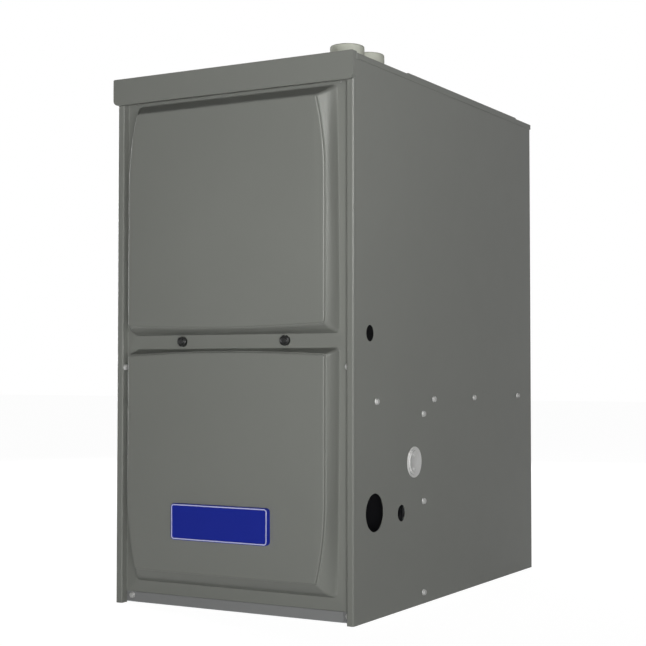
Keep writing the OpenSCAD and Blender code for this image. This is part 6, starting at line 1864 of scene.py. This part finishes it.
class DressInside(bpy.types.Operator):
    """Round the edges of the inner parts and give each its metal, plastic or rubber"""

    bl_idname = "furnace.dress_inside"
    bl_label = "Dress the inner parts"

    def execute(self, context):
        for look, nodes in INSIDE.items():
            for node in nodes:
                dressed(node, finish(look), SHEET_EDGE)
        for look, nodes in TURNED.items():
            for node in nodes:
                dressed(node, finish(look), 0)
        heads("burner_box_screws", "burner_box",
              [(x, 84.0, z) for x in (-172, -40, 92) for z in (651, 735)], (0, -1, 0))
        heads("vestibule_screws", "vestibule_panel",
              [(x, 214.8, z) for x in (-206, 206) for z in (372, 480, 600, 720, 812)], (0, -1, 0))
        heads("panel_screws", "control_panel",
              [(x, 224.8, z) for x in (-205, 14) for z in (84, 184, 286)], (0, -1, 0))
        heads("collector_screws", "condensate_collector",
              [(x, 174.8, z) for x in (-160, -80, 0) for z in (360, 442)], (0, -1, 0))
        return {"FINISHED"}


# ---------------------------------------------------------------- stage

CAMERA_AT = Vector((1.18881, 0, 0.37451))
CAMERA_BEHIND = -1793.3
CAMERA_TURN = 29.681
CAMERA_TILT = 1.943
CAMERA_LENS = 77.39
MID_HEIGHT = 0.42
FLOOR_DROP = 0.0004


def lamp(name, azimuth, elevation, strength, width, distance=3.2, aim=MID_HEIGHT, spread=180.0):
    """A soft panel lamp that faces a point at height aim. Azimuth 0 is in front, 90 to the right.

    strength is in watts, width is (along, up) and distance in metres, angles are in degrees.
    """
    a, e = math.radians(azimuth), math.radians(elevation)
    away = Vector((math.sin(a) * math.cos(e), -math.cos(a) * math.cos(e), math.sin(e)))
    light = bpy.data.lights.new(name, "AREA")
    light.shape = "RECTANGLE"
    light.size, light.size_y = width
    light.energy = strength
    light.spread = math.radians(spread)
    holder = bpy.data.objects.new(name, light)
    holder.visible_camera = False
    bpy.context.scene.collection.objects.link(holder)
    holder.location = Vector((0, 0, MID_HEIGHT)) + away * distance
    facing = Vector((0, 0, aim)) - holder.location
    holder.rotation_euler = facing.to_track_quat("-Z", "Y").to_euler()
    return holder


def seen_rays(tree):
    """1 for the rays that show the background: from the camera, off gloss and through glass."""
    rays = tree.nodes.new("ShaderNodeLightPath")
    total = rays.outputs["Is Camera Ray"]
    for name in ("Is Glossy Ray", "Is Transmission Ray"):
        most = tree.nodes.new("ShaderNodeMath")
        most.operation = "MAXIMUM"
        tree.links.new(total, most.inputs[0])
        tree.links.new(rays.outputs[name], most.inputs[1])
        total = most.outputs[0]
    return total


def white_floor():
    """A pale floor that looks white itself and still takes a faint shadow."""
    material = bpy.data.materials.new("floor_white")
    material.use_nodes = True
    tree = material.node_tree
    tree.nodes.clear()
    out = tree.nodes.new("ShaderNodeOutputMaterial")
    pale = tree.nodes.new("ShaderNodeBsdfDiffuse")
    pale.inputs["Color"].default_value = (0.80, 0.80, 0.80, 1)
    glow = tree.nodes.new("ShaderNodeEmission")
    glow.inputs["Strength"].default_value = 1.16
    share = tree.nodes.new("ShaderNodeMath")
    share.operation = "MULTIPLY"
    share.inputs[1].default_value = 0.84
    blend = tree.nodes.new("ShaderNodeMixShader")
    tree.links.new(seen_rays(tree), share.inputs[0])
    tree.links.new(share.outputs[0], blend.inputs[0])
    tree.links.new(pale.outputs[0], blend.inputs[1])
    tree.links.new(glow.outputs[0], blend.inputs[2])
    tree.links.new(blend.outputs[0], out.inputs[0])
    return material


def white_studio():
    """White where it is seen, and a weak even light elsewhere."""
    world = bpy.data.worlds.new("studio")
    world.use_nodes = True
    tree = world.node_tree
    tree.nodes.clear()
    out = tree.nodes.new("ShaderNodeOutputWorld")
    level = tree.nodes.new("ShaderNodeMapRange")
    level.inputs["To Min"].default_value = 0.03
    level.inputs["To Max"].default_value = 1.0
    sky = tree.nodes.new("ShaderNodeBackground")
    tree.links.new(seen_rays(tree), level.inputs["Value"])
    tree.links.new(level.outputs[0], sky.inputs["Strength"])
    sky.inputs["Color"].default_value = (1, 1, 1, 1)
    tree.links.new(sky.outputs[0], out.inputs[0])
    return world


class SetStage(bpy.types.Operator):
    """Set the pale floor, the soft lamps, the world and the camera"""

    bl_idname = "furnace.set_stage"
    bl_label = "Set the stage"

    def execute(self, context):
        floor_mesh = bpy.data.meshes.new("floor")
        reach = 14.0
        floor_mesh.from_pydata(
            [(-reach, -reach, 0), (reach, -reach, 0), (reach, reach, 0), (-reach, reach, 0)],
            [], [(0, 1, 2, 3)])
        floor = linked("floor", floor_mesh)
        floor.location.z = -FLOOR_DROP
        floor_mesh.materials.append(white_floor())
        context.scene.world = white_studio()

        lamp("front_panel", 33, -2, 12.6, (0.9, 0.7), aim=1.0, spread=92)
        lamp("low_panel", 35, -6.3, 11.0, (0.9, 0.18))
        fill = lamp("fill_panel", 33, -6, 8.8, (0.9, 0.5), aim=1.0, spread=92)
        fill.data.use_shadow = False
        for sheen in (lamp("wing_sheen", 74, 25, 74.0, (1.8, 0.8), distance=1.55),
                      lamp("edge_sheen", 50, 12.3, 36.0, (0.3, 0.4), distance=1.55)):
            sheen.visible_diffuse = False
        lamp("left_panel", -104, 8, 96.0, (1.2, 1.6))
        lamp("back_panel", 200, 12, 46.0, (1.6, 1.6))

        view = bpy.data.cameras.new("camera")
        view.lens = CAMERA_LENS
        view.sensor_width = 36.0
        view.sensor_fit = "HORIZONTAL"
        view.clip_end = 60.0
        holder = bpy.data.objects.new("camera", view)
        context.scene.collection.objects.link(holder)
        holder.location = Vector((CAMERA_AT.x, FRONT + CAMERA_BEHIND * MM, CAMERA_AT.z))
        holder.rotation_euler = (math.radians(90 + CAMERA_TILT), 0, math.radians(CAMERA_TURN))
        context.scene.camera = holder
        context.scene.view_settings.view_transform = "Standard"
        return {"FINISHED"}


class FURNACE_PT_parts(bpy.types.Panel):
    """The furnace's parts, its sizes and its colours"""

    bl_label = "Gas furnace"
    bl_space_type = "VIEW_3D"
    bl_region_type = "UI"
    bl_category = "Furnace"

    def draw(self, context):
        for step in STEPS:
            self.layout.operator(step.bl_idname)
        for group in (context.scene.furnace_sizes, context.scene.furnace_colours):
            box = self.layout.box()
            for key in group.__annotations__:
                box.prop(group, key)


STEPS = (PaintCabinet, PressDoors, TurnKnobs, MountBadge, TurnCollars, PressPlug, DriveScrews,
         LayWires, FitHoses,
         FitControls, BuildFans, FitGasTrain, PackLiner, DressInside, SetStage)
CLASSES = (FurnaceSizes, FurnaceColours, *STEPS, FURNACE_PT_parts)


def register():
    for each in CLASSES:
        bpy.utils.register_class(each)
    bpy.types.Scene.furnace_sizes = PointerProperty(type=FurnaceSizes)
    bpy.types.Scene.furnace_colours = PointerProperty(type=FurnaceColours)


def unregister():
    del bpy.types.Scene.furnace_colours
    del bpy.types.Scene.furnace_sizes
    for each in reversed(CLASSES):
        bpy.utils.unregister_class(each)


def main():
    register()
    for step in STEPS:
        group, name = step.bl_idname.split(".")
        getattr(getattr(bpy.ops, group), name)()


if __name__ == "__main__":
    main()
